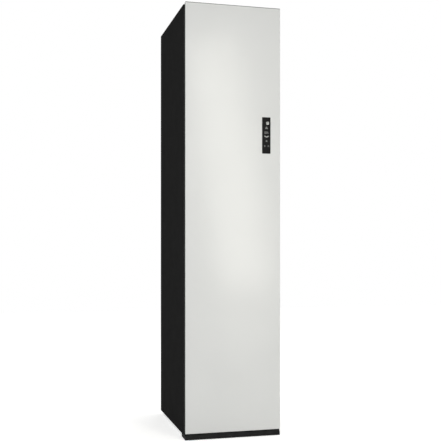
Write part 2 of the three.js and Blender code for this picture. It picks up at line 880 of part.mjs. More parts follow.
// Lint filter: a basket with a rim, slotted sides and a bail handle, dropped into the floor
function lintFilter() {
  const outline = (inset) => {
    return rounded(around(0, lint.halfX - inset), around(lint.y, lint.halfY - inset), lint.round);
  };
  const bottom = chamber.floor - lint.depth;
  const rimTop = chamber.floor + lint.rimHeight;
  const body = prism("z", outline(0), bottom, rimTop);
  const rim = prism("z", outline(-lint.rim), chamber.floor, rimTop);
  const well = prism("z", outline(lint.wall), bottom + lint.wall, rimTop + OVERRUN);
  const pitch = (2 * lint.halfX) / (lint.slots + 1);
  const windows = repeat(lint.slots, (i) => {
    const x = around(-lint.halfX + pitch * (i + 1), pitch / 2 - lint.wall);
    const z = [bottom + lint.rim, chamber.floor - lint.rim];
    return block(x, around(lint.y, lint.halfY + OVERRUN), z);
  });
  const bar = lint.handleBar;
  const barY = around(lint.y, bar);
  const handleX = lint.halfX / 2;
  const handleTop = rimTop + lint.handle;
  const handle = block([-handleX, handleX], barY, [handleTop - bar, handleTop]);
  const legs = [-1, 1].map((side) => {
    return block(around(side * (handleX - bar), bar), barY, [bottom + lint.wall / 2, handleTop]);
  });
  return join(cut(join(body, rim), well, windows), handle, legs);
}
add("lint_filter", lintFilter(), smokedPlastic);

// Aroma case: a small vented box that sits on the chamber floor
function aromaCase() {
  const outline = (inset) => {
    const x = around(aromaX, aroma.halfX - inset);
    return rounded(x, around(aroma.y, aroma.halfY - inset), aroma.round - inset);
  };
  const top = chamber.floor + aroma.height;
  const body = prism("z", outline(0), chamber.floor, top);
  const well = prism("z", outline(aroma.wall), chamber.floor + aroma.wall, top - aroma.wall);
  const pitch = (2 * aroma.halfY) / (aroma.slots + 1);
  const slots = repeat(aroma.slots, (i) => {
    const y = around(aroma.y - aroma.halfY + pitch * (i + 1), aroma.wall);
    return block(around(aromaX, aroma.halfX - 3 * aroma.wall), y, [top - 2 * aroma.wall, top + OVERRUN]);
  });
  return cut(body, well, slots);
}
add("aroma_case", aromaCase(), whitePlastic);

// Shelf: a lift-out tray with a rim and rows of drain slots
function trayShelf() {
  const halfX = mouthX - shelf.sideGap;
  const y = [linerFront + shelf.frontGap, chamberBack - shelf.backGap];
  const z = [chamber.ledgeTop, chamber.ledgeTop + shelf.height];
  const tray = prism("z", rounded([-halfX, halfX], y, shelf.rim), ...z);
  const inner = [y[0] + shelf.web, y[1] - shelf.web];
  const wellOutline = rounded([shelf.web - halfX, halfX - shelf.web], inner, shelf.rim - shelf.web);
  const well = prism("z", wellOutline, z[0] + shelf.web, z[1] + OVERRUN);
  const pitchX = (2 * halfX) / (shelf.slots + 1);
  const pitchY = (inner[1] - inner[0]) / shelf.bars;
  const slots = repeat(shelf.slots, (i) => {
    const x = around(-halfX + pitchX * (i + 1), pitchX / 2 - shelf.web);
    return repeat(shelf.bars, (row) => {
      const start = inner[0] + row * pitchY + shelf.rim;
      return block(x, [start, start + pitchY - 2 * shelf.rim], [z[0] - OVERRUN, z[1]]);
    });
  });
  return cut(tray, well, slots.flat());
}
add("shelf", trayShelf(), greyPlastic);

// Hanger rail: an oval bar on two posts that pass up through the chamber roof
const guideTop = linerRoof + guide.height;
const plateBottom = guideTop + SEAM;
const plateTop = plateBottom + carriage.plate;
const yokeTop = plateTop + carriage.yokeHeight;
const railTop = railZ + rail.halfHeight;
function hangerRail() {
  const section = rounded(around(rail.y, rail.halfWidth), around(railZ, rail.halfHeight), rail.halfWidth);
  const bar = prism("x", section, -railHalf, railHalf);
  const posts = [-1, 1].map((side) => {
    return rod("z", [side * postX, rail.y], rail.postRadius, railZ, plateBottom);
  });
  return join(bar, posts);
}
add("hanger_rail", hangerRail(), bareSteel);

// Carriage: a plate that runs over the guides and holds the posts, with the crank's yoke on it
function railCarriage() {
  const y = around(rail.y, guide.fromRail + guide.width / 2 + guide.tie);
  const plate = block([-carriageHalf, carriageHalf], y, [plateBottom, plateTop]);
  const runY = crank.throw + crank.pinRadius + SEAM;
  const yokeX = around(0, carriage.yokeHalfX);
  const yoke = block(yokeX, around(rail.y, runY + carriage.yokeWall), [plateTop, yokeTop]);
  const slot = prism(
    "z",
    rounded(around(0, crank.pinRadius + SEAM), around(rail.y, runY), crank.pinRadius),
    plateTop,
    yokeTop + OVERRUN,
  );
  const reliefX = (carriage.yokeHalfX + postX) / 2;
  const reliefs = [-1, 1].map((side) => {
    const x = around(side * reliefX, carriage.reliefHalf);
    const opening = rounded(x, around(rail.y, guide.fromRail / 2), guide.tie);
    return prism("z", opening, plateBottom - OVERRUN, plateTop + OVERRUN);
  });
  return cut(join(plate, yoke), slot, reliefs);
}
add("rail_carriage", railCarriage(), zincSteel);

// Guide frame: two runners under the carriage joined by ties, fixed on the chamber roof
function guideFrame() {
  const runners = [-1, 1].map((side) => {
    const y = around(rail.y + side * guide.fromRail, guide.width / 2);
    return block([-guideHalf, guideHalf], y, [linerRoof, guideTop]);
  });
  const ties = [-1, 0, 1].map((place) => {
    const x = around(place * (guideHalf - guide.tie), guide.tie);
    return block(x, around(rail.y, guide.fromRail), [linerRoof, linerRoof + guide.tie / 2]);
  });
  return join(runners, ties);
}
add("rail_guide", guideFrame(), whitePlastic);

// Crank pulley: a flanged belt wheel with a drive pin under it that works in the yoke
const pinEnd = yokeTop + openPivotGap;
const pulleyBottom = pinEnd + crank.pinReach;
const pulleyTop = pulleyBottom + crank.belt + 2 * crank.flangeHeight;
function flangedWheel([x, y], radius, holeRadius) {
  const profile = [
    [holeRadius, pulleyBottom],
    [radius + crank.flange, pulleyBottom],
    [radius + crank.flange, pulleyBottom + crank.flangeHeight],
    [radius, pulleyBottom + crank.flangeHeight],
    [radius, pulleyTop - crank.flangeHeight],
    [radius + crank.flange, pulleyTop - crank.flangeHeight],
    [radius + crank.flange, pulleyTop],
    [holeRadius, pulleyTop],
  ];
  if (holeRadius > 0) profile.push(profile[0]);
  return turned("z", [x, y, 0], profile, crank.steps);
}
const motorY = rail.y + drive.spacing;
const axleHole = bore(crank.axleRadius, hinge.runningGap, crank.steps);
function crankPulley() {
  const wheel = flangedWheel([0, rail.y], crank.radius, axleHole);
  const pinPlace = [0, rail.y + crank.throw];
  const pin = rod("z", pinPlace, crank.pinRadius, pinEnd, pulleyBottom + crank.flangeHeight);
  const windowRadius = (crank.radius + crank.hub) / 2;
  const windows = repeat(crank.windows, (i) => {
    const angle = (2 * Math.PI * (i + 1 / 2)) / crank.windows;
    const place = [windowRadius * Math.cos(angle), rail.y + windowRadius * Math.sin(angle)];
    return rod("z", place, crank.windowRadius, pinEnd, pulleyTop + OVERRUN, SMALL_STEPS);
  });
  return join(cut(wheel, windows), pin);
}
add("crank_pulley", crankPulley(), whitePlastic);

// Drive bridge: a folded bracket over the carriage with the crank's axle and the motor's seat
const bridgeBottom = pulleyTop + bridge.headroom;
function driveBridge() {
  const y = [rail.y - bridge.front, motorY + bridge.back];
  const deckTop = bridgeBottom + bridge.plate;
  const outline = [
    [y[0] - bridge.foot, linerRoof],
    [y[0] + bridge.plate, linerRoof],
    [y[0] + bridge.plate, bridgeBottom],
    [y[1] - bridge.plate, bridgeBottom],
    [y[1] - bridge.plate, linerRoof],
    [y[1] + bridge.foot, linerRoof],
    [y[1] + bridge.foot, linerRoof + bridge.plate],
    [y[1], linerRoof + bridge.plate],
    [y[1], deckTop],
    [y[0], deckTop],
    [y[0], linerRoof + bridge.plate],
    [y[0] - bridge.foot, linerRoof + bridge.plate],
  ];
  const hat = prism("x", outline, -bridge.halfWidth, bridge.halfWidth);
  const axle = rod("z", [0, rail.y], crank.axleRadius, pulleyBottom, deckTop, crank.steps);
  const holeRadius = bore(drive.bossRadius, SEAM, crank.steps);
  const shaftHole = rod("z", [0, motorY], holeRadius, bridgeBottom - OVERRUN, deckTop + OVERRUN, crank.steps);
  const legHoles = [y[0] + bridge.plate / 2, y[1] - bridge.plate / 2].map((middle) => {
    const x = around(0, bridge.halfWidth / 2);
    const z = [linerRoof + guide.height, bridgeBottom - guide.height];
    return block(x, around(middle, OVERRUN), z);
  });
  return join(cut(hat, shaftHole, legHoles), axle);
}
add("drive_bridge", driveBridge(), zincSteel);

// Drive motor: a flanged can over the bridge with a boss down through it
const motorSeat = bridgeBottom + bridge.plate;
function driveMotor() {
  const shaftHole = bore(drive.shaftRadius, hinge.runningGap, crank.steps);
  const bodyTop = motorSeat + drive.bodyHeight;
  const profile = [
    [shaftHole, bridgeBottom],
    [drive.bossRadius, bridgeBottom],
    [drive.bossRadius, motorSeat],
    [drive.bodyRadius + drive.lip, motorSeat],
    [drive.bodyRadius + drive.lip, motorSeat + drive.lip],
    [drive.bodyRadius, motorSeat + drive.lip],
    [drive.bodyRadius, bodyTop - drive.lip],
    [drive.bodyRadius - drive.lip, bodyTop],
    [0, bodyTop],
    [0, bodyTop - drive.lip],
    [shaftHole, bodyTop - drive.lip],
    [shaftHole, bridgeBottom],
  ];
  return turned("z", [0, motorY, 0], profile, crank.steps);
}
add("drive_motor", driveMotor(), zincSteel);

// Motor pulley: a small flanged wheel on the motor's shaft
function motorPulley() {
  const shaftTop = motorSeat + drive.bodyHeight / 2;
  const shaft = rod("z", [0, motorY], drive.shaftRadius, pulleyBottom, shaftTop, crank.steps);
  return join(flangedWheel([0, motorY], drive.pulleyRadius, 0), shaft);
}
add("motor_pulley", motorPulley(), bareSteel);

// Drive belt: a flat band round both wheels, tangent to each
function beltOutline(offset) {
  const large = crank.radius + offset;
  const small = drive.pulleyRadius + offset;
  const lean = Math.asin((large - small) / drive.spacing);
  return [
    ...circle(0, motorY, small, belt.steps / 2, lean, Math.PI - lean),
    ...circle(0, rail.y, large, belt.steps, Math.PI - lean, 2 * Math.PI + lean),
  ];
}
function driveBelt() {
  const fromFlange = crank.flangeHeight + belt.sideGap;
  const z = [pulleyBottom + fromFlange, pulleyTop - fromFlange];
  const inner = belt.clear;
  const band = prism("z", beltOutline(inner + belt.thick), ...z);
  return cut(band, prism("z", beltOutline(inner), z[0] - OVERRUN, z[1] + OVERRUN));
}
add("drive_belt", driveBelt(), rubberBlack);

// Hangers: a shaped shoulder piece with a wire hook over the rail, hung across the cabinet's depth
function hangerShoulders(y, z) {
  const sweep = hangerHalf / 3;
  const tip = z - hanger.shoulderDrop;
  const under = z - hanger.armHeight;
  const shape = new THREE.Shape();
  shape.moveTo(y, z);
  shape.quadraticCurveTo(y + sweep, z, y + hangerHalf, tip);
  shape.lineTo(y + hangerHalf, tip - hanger.tipHeight);
  shape.quadraticCurveTo(y + sweep, under, y, under);
  shape.quadraticCurveTo(y - sweep, under, y - hangerHalf, tip - hanger.tipHeight);
  shape.lineTo(y - hangerHalf, tip);
  shape.quadraticCurveTo(y - sweep, z, y, z);
  return shape;
}
function garmentHanger(x) {
  const hookZ = railTop - rail.halfWidth;
  const hookRadius = rail.halfWidth + SEAM + hanger.wire;
  const bendTop = hookZ - hanger.straight;
  const bendBottom = bendTop - hanger.bend;
  const neck = bendBottom - hanger.stem;
  const over = circle(rail.y, hookZ, hookRadius, hanger.hookSteps, 0, Math.PI).reverse();
  const path = [
    [rail.y - hookRadius - hanger.tipFlare, hookZ - hanger.tipDrop],
    ...over,
    [rail.y + hookRadius, bendTop],
    [rail.y, bendBottom],
    [rail.y, neck - hanger.armHeight / 2],
  ].map(([y, z]) => [x, y, z]);
  const span = around(x, hanger.thick / 2);
  const shoulders = prism("x", hangerShoulders(rail.y, neck), ...span, hanger.curveSteps);
  return join(shoulders, tube(path, hanger.wire, hanger.wireSteps, hanger.wireSides));
}
["hanger_left", "hanger_middle", "hanger_right"].forEach((name, i) => {
  add(name, garmentHanger((i - 1) * hanger.spacing), blackPlastic);
});

// Tank bay: an open-fronted box with a divider, its front lip closing the casing round it
const bayFloor = bay.bottom + bay.wall;
const bayX = baySide - bay.wall;
function tankBay() {
  const outer = block([-baySide, baySide], [cabinetFront, bayBack], [bay.bottom, bay.top]);
  const lipY = [cabinetFront, cabinetFront + bay.wall];
  const lip = block([-frontPanelX, frontPanelX], lipY, [bayLipBottom, linerLipBottom - SEAM]);
  const bins = [-1, 1].map((side) => {
    const x = [(side * bay.divider) / 2, side * bayX].sort((a, b) => a - b);
    return block(x, [cabinetFront - OVERRUN, bayBack - bay.wall], [bayFloor, bay.top - bay.wall]);
  });
  const throughBack = [bayBack - bay.wall - OVERRUN, bayBack + OVERRUN];
  const valve = rod("y", [bay.valveX, bay.valveZ], hose.bore, ...throughBack, SMALL_STEPS);
  return cut(join(outer, lip), bins, valve);
}
add("tank_bay", tankBay(), blackPlastic);

// Water tanks: open-topped bottles with a finger grip in front, each with its own lid and filler cap
const tankFront = cabinetFront + tank.front;
const tankBack = bayBack - bay.wall - tank.backGap;
const tankBottom = bayFloor + tank.seatGap;
const tankTop = tankBottom + tank.height;
function tankSpan(side) {
  const inner = bay.divider / 2 + tank.gap;
  const outer = bayX - tank.gap;
  return side < 0 ? [-outer, -inner] : [inner, outer];
}
function tankOutline(side, inset) {
  const [x0, x1] = tankSpan(side);
  return rounded([x0 + inset, x1 - inset], [tankFront + inset, tankBack - inset], tank.round - inset);
}
function waterTank(side) {
  const [x0, x1] = tankSpan(side);
  const middle = (x0 + x1) / 2;
  const gripTop = tankTop - tank.gripDrop;
  const body = prism("z", tankOutline(side, 0), tankBottom, tankTop);
  const well = prism("z", tankOutline(side, tank.wall), tankBottom + tank.wall, tankTop + OVERRUN);
  const pocket = (inset, reach) => {
    const z = [gripTop - tank.gripHeight - inset, gripTop + inset];
    const x = around(middle, tank.gripHalf + inset);
    const y = [tankFront - reach, tankFront + tank.gripDepth + inset];
    return prism("y", rounded(x, z, tank.wall + inset), ...y);
  };
  const lined = join(cut(body, well), pocket(tank.wall, -tank.wall / 2));
  return cut(lined, pocket(0, OVERRUN));
}
function tankLid(side) {
  const [x0, x1] = tankSpan(side);
  const middle = [(x0 + x1) / 2, (tankFront + tankBack) / 2];
  const lidTop = tankTop + tank.lid;
  const plate = prism("z", tankOutline(side, 0), tankTop, lidTop);
  const plugIn = prism("z", tankOutline(side, tank.wall + SEAM), tankTop - tank.lidLap, tankTop);
  const capTop = lidTop + tank.capHeight;
  const cap = rod("z", middle, tank.cap, lidTop, capTop);
  const bar = block(around(middle[0], tank.cap), around(middle[1], tank.wall), [lidTop, capTop + tank.wall]);
  return join(plate, plugIn, cap, bar);
}
add("supply_tank", waterTank(-1), smokedPlastic);
add("supply_tank_lid", tankLid(-1), greyPlastic);
add("drain_tank", waterTank(1), smokedPlastic);
add("drain_tank_lid", tankLid(1), greyPlastic);

// Compressor: a domed can on a foot plate with two pipe stubs
function compressorCan() {
  const base = panTop + compressor.flangeHeight;
  const top = base + compressor.height;
  const profile = [
    [0, base - SHEET],
    [compressor.radius - compressor.weld, base - SHEET],
    [compressor.radius, base + compressor.weld],
    [compressor.radius, top - compressor.dome],
    [compressor.radius * compressor.shoulderShare, top - compressor.dome / 3],
    [compressor.radius / 2, top],
    [0, top],
  ];
  const can = turned("z", [compressorX, compressorY, 0], profile);
  const seamZ = base + (compressor.height * 2) / 3;
  const seamRadius = compressor.radius + compressor.weld;
  const seam = rod("z", [compressorX, compressorY], seamRadius, seamZ, seamZ + compressor.weld);
  const x = around(compressorX, compressor.flange);
  const y = around(compressorY, compressor.flange);
  const plate = prism("z", rounded(x, y, compressor.flange / 3), panTop, base);
  const stub = (turn) => {
    const place = [compressorX + turn * compressor.stubX, compressorY - compressor.stubX];
    return rod("z", place, compressor.pipe, top - compressor.dome, top + compressor.stubRise, SMALL_STEPS);
  };
  return join(can, seam, plate, stub(-1), stub(1));
}
add("compressor", compressorCan(), blackPaint);

// Heat exchangers: a stack of fins between two tube plates, with return bends at one end
function heatExchanger(y) {
  const x = around(exchanger.x, exchanger.halfX);
  const z = [exchanger.bottom, exchanger.bottom + exchanger.height];
  const span = [y, y + exchanger.depth];
  const core = block(x, [span[0] + exchanger.tube, span[1] - exchanger.tube], z);
  const pitch = (2 * exchanger.halfX) / exchanger.fins;
  const fins = repeat(exchanger.fins, (i) => {
    return block(around(x[0] + pitch * (i + 1 / 2), exchanger.fin / 2), span, z);
  });
  const plates = x.map((place) => block(around(place, SHEET), span, [panTop, z[1] + exchanger.tube]));
  const rows = exchanger.rows;
  const rise = exchanger.height / rows;
  const bends = repeat(rows / 2, (i) => {
    const low = z[0] + rise * (2 * i + 1 / 2);
    const end = x[1];
    const middle = (span[0] + span[1]) / 2;
    const path = [
      [end, middle, low],
      [end + exchanger.loop, middle, low],
      [end + exchanger.loop * 1.5, middle, low + rise / 2],
      [end + exchanger.loop, middle, low + rise],
      [end, middle, low + rise],
    ];
    return tube(path, exchanger.tube, exchanger.bendSteps, exchanger.bendSides);
  });
  return join(core, fins, plates, bends);
}
add("evaporator", heatExchanger(evaporatorY), finStock);
add("condenser", heatExchanger(condenserY), finStock);

// Fan housing: a spiral casing with an inlet in front, an outlet neck on top and a foot on the pan
function spiral(inset) {
  return repeat(fan.spiralSteps + 1, (i) => {
    const turn = i / fan.spiralSteps;
    const angle = 1.5 * Math.PI * turn;
    const radius = fan.radius + fan.growth * (1 - turn) - inset;
    return [fan.x + radius * Math.cos(angle), fan.z + radius * Math.sin(angle)];
  });
}
function neckSpan(inset) {
  const right = fan.x + fan.radius + fan.growth - inset;
  return [right - fan.neck + 2 * inset, right];
}
function fanHousing() {
  const outer = prism("y", spiral(0), fanFront, fanBack);
  const corner = (inset) => {
    const x = fan.x + fan.radius + fan.growth - inset;
    return block([fan.x, x], [fanFront + inset, fanBack - inset], [fan.z - fan.radius + inset, fan.z]);
  };
  const neck = block(neckSpan(0), [fanFront, fanBack], [fan.z, linerFloor - SEAM]);
  const inside = [
    prism("y", spiral(fan.wall), fanFront + fan.wall, fanBack - fan.wall),
    corner(fan.wall),
    block(neckSpan(fan.wall), [fanFront + fan.wall, fanBack - fan.wall], [fan.z, linerFloor + OVERRUN]),
  ];
  const middle = [fan.x, fan.z];
  const inlet = rod("y", middle, fan.inlet, fanFront - OVERRUN, fanFront + fan.wall + SEAM);
  const holeRadius = fan.shaft + fan.shaftGap;
  const shaftHole = rod("y", middle, holeRadius, fanBack - fan.wall - SEAM, fanBack + OVERRUN);
  const footTop = fan.z - fan.radius + fan.wall;
  const foot = block(around(fan.x, fan.footHalf), [fanFront, fanBack], [panTop, footTop]);
  return cut(join(outer, corner(0), neck, foot), inside, inlet, shaftHole);
}
add("fan_housing", fanHousing(), greyPlastic);

// Fan wheel: curved blades between a back plate and a front ring, on its own shaft
function fanWheel() {
  const back = fanBack - fan.wall - fan.wheelGap;
  const front = back - fan.wheelDepth;
  const axis = [fan.x, fan.z];
  const inner = fan.wheel - fan.bladeReach;
  const plate = rod("y", axis, fan.wheel, back - fan.blade, back);
  const hub = rod("y", axis, fan.hub, back - fan.wheelDepth / 2, back, SMALL_STEPS);
  const shaft = rod("y", axis, fan.shaft, back - fan.blade, fanBack + fan.motorDepth / 2, SMALL_STEPS);
  const ringOuter = rod("y", axis, fan.wheel, front, front + fan.blade);
  const ringInner = rod("y", axis, inner, front - OVERRUN, front + fan.blade + OVERRUN);
  const blades = repeat(fan.blades, (i) => {
    const start = (2 * Math.PI * i) / fan.blades;
    const at = (radius, turn) => {
      return [fan.x + radius * Math.cos(start + turn), fan.z + radius * Math.sin(start + turn)];
    };
    const thick = fan.blade / fan.wheel;
    const middle = (inner + fan.wheel) / 2;
    const outer = fan.wheel - fan.blade / 2;
    const lean = fan.leanShare;
    const leading = [at(inner, 0), at(middle, lean), at(outer, 3 * lean)];
    const trailing = [at(outer, 3 * lean + thick), at(middle, lean + thick), at(inner, thick)];
    return prism("y", [...leading, ...trailing], front, back);
  });
  return join(plate, hub, shaft, cut(ringOuter, ringInner), blades);
}
add("fan_wheel", fanWheel(), whitePlastic);

// Fan motor: a can on the back of the housing
function fanMotor() {
  const rear = fanBack + fan.motorDepth;
  const hole = bore(fan.shaft, hinge.runningGap, SMALL_STEPS);
  const profile = [
    [hole, 0],
    [fan.motor + fan.wall, 0],
    [fan.motor + fan.wall, fan.wall],
    [fan.motor, fan.wall],
    [fan.motor, rear - fanBack - fan.wall],
    [fan.motor - fan.wall, rear - fanBack],
    [0, rear - fanBack],
    [0, rear - fanBack - 2 * fan.wall],
    [hole, rear - fanBack - 2 * fan.wall],
    [hole, 0],
  ];
  return turned("y", [fan.x, fanBack, fan.z], profile, SMALL_STEPS * 2);
}
add("fan_motor", fanMotor(), zincSteel);

// Steam generator: a ribbed tank on legs with a bolted lid and an outlet spout
const steamerTop = steamer.bottom + steamer.height;
const steamerRibPitch = (steamer.height - 3 * steamer.lid) / (steamer.ribs + 1);
function steamGenerator() {
  const outline = (inset) => {
    const x = around(steamerX, steamer.halfX - inset);
    return rounded(x, around(steamerY, steamer.halfY - inset), steamer.round);
  };
  const body = prism("z", outline(steamer.rib), steamer.bottom, steamerTop);
  const lid = prism("z", outline(0), steamerTop - 2 * steamer.lid, steamerTop - steamer.lid);
  const ribs = repeat(steamer.ribs, (i) => {
    const z = steamer.bottom + steamerRibPitch * (i + 1);
    return prism("z", outline(steamer.rib / 2), z - steamer.rib / 2, z + steamer.rib / 2);
  });
  const legX = steamer.halfX - steamer.round;
  const legs = [-1, 1].map((side) => {
    const x = around(steamerX + side * legX, steamer.rib / 2);
    const y = around(steamerY, steamer.halfY - steamer.round);
    return block(x, y, [panTop, steamer.bottom + steamer.rib]);
  });
  const spoutTop = steamerTop + steamer.spout;
  const spout = rod("z", [steamerX, steamerY], hose.radius, steamerTop, spoutTop, SMALL_STEPS);
  return join(body, lid, ribs, legs, spout);
}
add("steam_generator", steamGenerator(), bareSteel);

// Steam hose: from the generator's spout to the spout under the vent
function steamHose() {
  const start = steamerTop + steamer.spout + SEAM;
  const end = ventSpoutBottom - SEAM;
  const path = [
    [steamerX, steamerY, start],
    [steamerX, steamerY, start + hose.straight],
    [steamerX / 2, (steamerY + ventY) / 2, (start + end) / 2],
    [0, ventY, end - hose.straight],
    [0, ventY, end],
  ];
  return tube(path, hose.radius, hose.steps, hose.sides);
}
add("steam_hose", steamHose(), rubberBlack);

// Water hose: from the tank bay's valve to the side of the steam generator
function waterHose() {
  const start = bayBack + SEAM;
  const end = steamerY - steamer.halfY + steamer.rib - SEAM;
  const x = steamerX - steamer.halfX + steamer.round + hose.radius;
  const z = steamer.bottom + steamerRibPitch * 1.5;
  const path = [
    [bay.valveX, start, bay.valveZ],
    [bay.valveX, start + hose.straight, bay.valveZ],
    [bay.valveX, end - 3 * hose.straight, z],
    [x, end - hose.straight, z],
    [x, end, z],
  ];
  return tube(path, hose.radius, hose.steps, hose.sides);
}
add("water_hose", waterHose(), rubberBlack);

// Drain pump: a small upright pump on the pan under the tank bay
function drainPump() {
  const top = panTop + pump.height;
  const place = [pump.x, pumpY];
  const base = prism(
    "z",
    rounded(around(pump.x, pump.radius), around(pumpY, pump.radius), pump.spout),
    panTop,
    panTop + pump.baseHeight,
  );
  const can = rod("z", place, pump.radius - pump.baseHeight / 2, panTop, top - pump.baseHeight);
  const cap = rod("z", place, pump.radius, top - pump.baseHeight, top);
  const spoutZ = panTop + pump.height / 2;
  const spoutEnd = pump.x + pump.radius + pump.spoutReach;
  const spout = rod("x", [pumpY, spoutZ], pump.spout, pump.x, spoutEnd, SMALL_STEPS);
  return join(base, can, cap, spout);
}
add("drain_pump", drainPump(), blackPlastic);

// Control electronics: a finned box on the pan at the back
function electricsBox() {
  const x = around(electricsX, electrics.halfX);
  const y = around(electricsY, electrics.halfY);
  const top = panTop + electrics.height;
  const body = block(x, y, [panTop, top]);
  const lidX = around(electricsX, electrics.halfX + electrics.wall);
  const lidY = around(electricsY, electrics.halfY + electrics.wall);
  const lid = block(lidX, lidY, [top - electrics.lid, top]);
  const pitch = (2 * electrics.halfX) / (electrics.ribs + 1);
  const ribs = repeat(electrics.ribs, (i) => {
    const ribX = around(x[0] + pitch * (i + 1), electrics.rib / 2);
    return block(ribX, [y[0] - electrics.rib, y[0]], [panTop + electrics.rib, top]);
  });
  return join(body, lid, ribs);
}
add("electronics_box", electricsBox(), whitePlastic);

// Door glass: a pane over the whole door front with ground edges and a window for the controls
const doorX = halfWidth - door.inset;
const doorTop = HEIGHT - door.inset;
const glassTop = HEIGHT - door.capLip - SEAM;
const doorBottom = door.lift + door.inset;
const windowX = [halfWidth - controls.fromEdge - controls.width, halfWidth - controls.fromEdge];
const windowZ = [controls.bottom, controls.bottom + controls.height];
function doorGlass() {
  const outline = (inset) => {
    const z = [door.lift + inset, glassTop - inset];
    return rounded([inset - halfWidth, halfWidth - inset], z, door.cornerRadius);
  };
  const pane = join(
    prism("y", outline(0), frontY + door.ground, glassBack),
    prism("y", outline(door.ground), frontY, frontY + door.ground),
  );
  const opening = rounded(
    [windowX[0] - SEAM, windowX[1] + SEAM],
    [windowZ[0] - SEAM, windowZ[1] + SEAM],
    controls.cornerRadius,
  );
  return cut(pane, prism("y", opening, frontY - OVERRUN, glassBack + OVERRUN));
}
add("door_glass", doorGlass(), paleGlass);

// Door stiles: the hinge stile is a channel, the other one has the full-height finger grip in its edge
const stileTop = doorTop - door.railHeight;
const stileBottom = doorBottom + door.railHeight;
const stileIn = doorX - door.stileWidth;
function stilePocket(side) {
  const x = [side * (stileIn - OVERRUN), side * (stileIn + door.stilePocket)].sort((a, b) => a - b);
  const y = [glassBack + door.stileLip, frameBack - door.stileLip];
  return block(x, y, [stileBottom - OVERRUN, stileTop + OVERRUN]);
}
function hingeStile() {
  const bar = block([-doorX, -stileIn], [glassBack, frameBack], [stileBottom, stileTop]);
  return cut(bar, stilePocket(-1));
}
function gripStile() {
  const bar = block([stileIn, doorX], [glassBack, frameBack], [stileBottom, stileTop]);
  const gripY = [frameBack - grip.rearLip - grip.width, frameBack - grip.rearLip];
  const channel = rounded([doorX - grip.depth, doorX + OVERRUN], gripY, grip.round);
  return cut(bar, stilePocket(1), prism("z", channel, stileBottom - OVERRUN, stileTop + OVERRUN));
}
add("door_stile_hinge", hingeStile(), blackPlastic);
add("door_stile_grip", gripStile(), blackPlastic);

// Door rails: end caps with a bearing hole for each hinge pin, the top one with a lip over the glass's edge
const pinHole = bore(hinge.pinRadius, hinge.runningGap);
const recessBox = block(
  [-WIDTH, recessX],
  [glassBack, doorBack + OVERRUN],
  [recessFloor, HEIGHT + OVERRUN],
);
function doorRail(z, pocketZ, pinZ, lip = []) {
  const bar = block([-doorX, doorX], [glassBack, frameBack], z);
  const pitch = (2 * stileIn) / door.railPockets;
  const pockets = repeat(door.railPockets, (i) => {
    const x = around(-stileIn + pitch * (i + 1 / 2), pitch / 2 - door.stileLip);
    return block(x, [glassBack + door.stileLip, frameBack - door.stileLip], pocketZ);
  });
  return cut(join(bar, lip), pockets, recessBox, rod("z", [pivotX, pivotY], pinHole, ...pinZ));
}
const capLip = block([-halfWidth, halfWidth], [frontY + door.ground, frameBack], [HEIGHT - door.capLip, HEIGHT]);
const topPinZ = [recessFloor - hinge.pinReach - OVERRUN, recessFloor + OVERRUN];
const bottomPinZ = [doorBottom - OVERRUN, doorBottom + hinge.pinReach + OVERRUN];
const topPocketZ = [stileTop - OVERRUN, doorTop - door.stilePocket];
const bottomPocketZ = [doorBottom + door.stilePocket, stileBottom + OVERRUN];
add("door_rail_top", doorRail([stileTop, doorTop], topPocketZ, topPinZ, capLip), blackPlastic);
add("door_rail_bottom", doorRail([doorBottom, stileBottom], bottomPocketZ, bottomPinZ), blackPlastic);

// The raised plug of the door's inner side: two steps towards the chamber, inset for what lies inside it
const plugFace = doorBack + plug.reach;
const plugStep = doorBack + plug.reach / 2;
function plugForm(inset, behind) {
  const outline = (more) => {
    const x = mouthX - plug.side - more;
    const z = [chamber.floor + plug.end + more, chamberRoof - plug.end - more];
    return rounded([-x, x], z, chamber.round);
  };
  return join(
    prism("y", outline(inset), behind, plugStep - inset),
    prism("y", outline(plug.taper + inset), behind, plugFace - inset),
  );
}

// Door foam: a slab that fills the plug, with tongues in the stiles and a pocket for the control board
function doorFoam() {
  const z = [stileBottom, stileTop];
  const slab = block([-stileIn, stileIn], [glassBack, frameBack], z);
  const tongueX = stileIn + door.stilePocket - SEAM;
  const tongueY = [glassBack + door.stileLip + SEAM, frameBack - door.stileLip - SEAM];
  const pocket = block(
    [windowX[0] - controls.boardMargin, windowX[1] + controls.boardMargin],
    [glassBack - OVERRUN, glassBack + controls.pocketDepth],
    [windowZ[0] - controls.boardMargin, windowZ[1] + controls.boardMargin],
  );
  const filling = plugForm(door.skin + SEAM, glassBack + door.stileLip);
  return cut(join(slab, block([-tongueX, tongueX], tongueY, z), filling), pocket);
}
add("door_foam", doorFoam(), foamWhite);

// Door inner skin: a formed sheet with a raised plug that enters the chamber's mouth
function doorSkin() {
  const sheet = block([-doorX, doorX], [frameBack, doorBack], [doorBottom, doorTop]);
  const raised = plugForm(0, doorBack - door.skin / 2);
  return cut(join(sheet, raised), plugForm(door.skin, frameBack - OVERRUN), recessBox);
}
add("door_inner_skin", doorSkin(), greyPlastic);

// Door gasket: a soft ring on the inner skin round the chamber's mouth
function doorGasket() {
  const inX = mouthX + gasket.fromMouth;
  const z = [chamber.floor - gasket.fromMouth, chamberRoof + gasket.fromMouth];
  const ring = (grow) => {
    return rounded([-inX - grow, inX + grow], [z[0] - grow, z[1] + grow], gasket.round + grow);
  };
  const y = [doorBack, cabinetFront - SEAM];
  const bulb = prism("y", ring(gasket.width - gasket.round), y[0], y[1]);
  const foot = prism("y", ring(gasket.width), y[0], y[0] + (y[1] - y[0]) / 2);
  return cut(join(bulb, foot), prism("y", ring(0), y[0] - OVERRUN, y[1] + OVERRUN));
}
add("door_gasket", doorGasket(), rubberBlack);

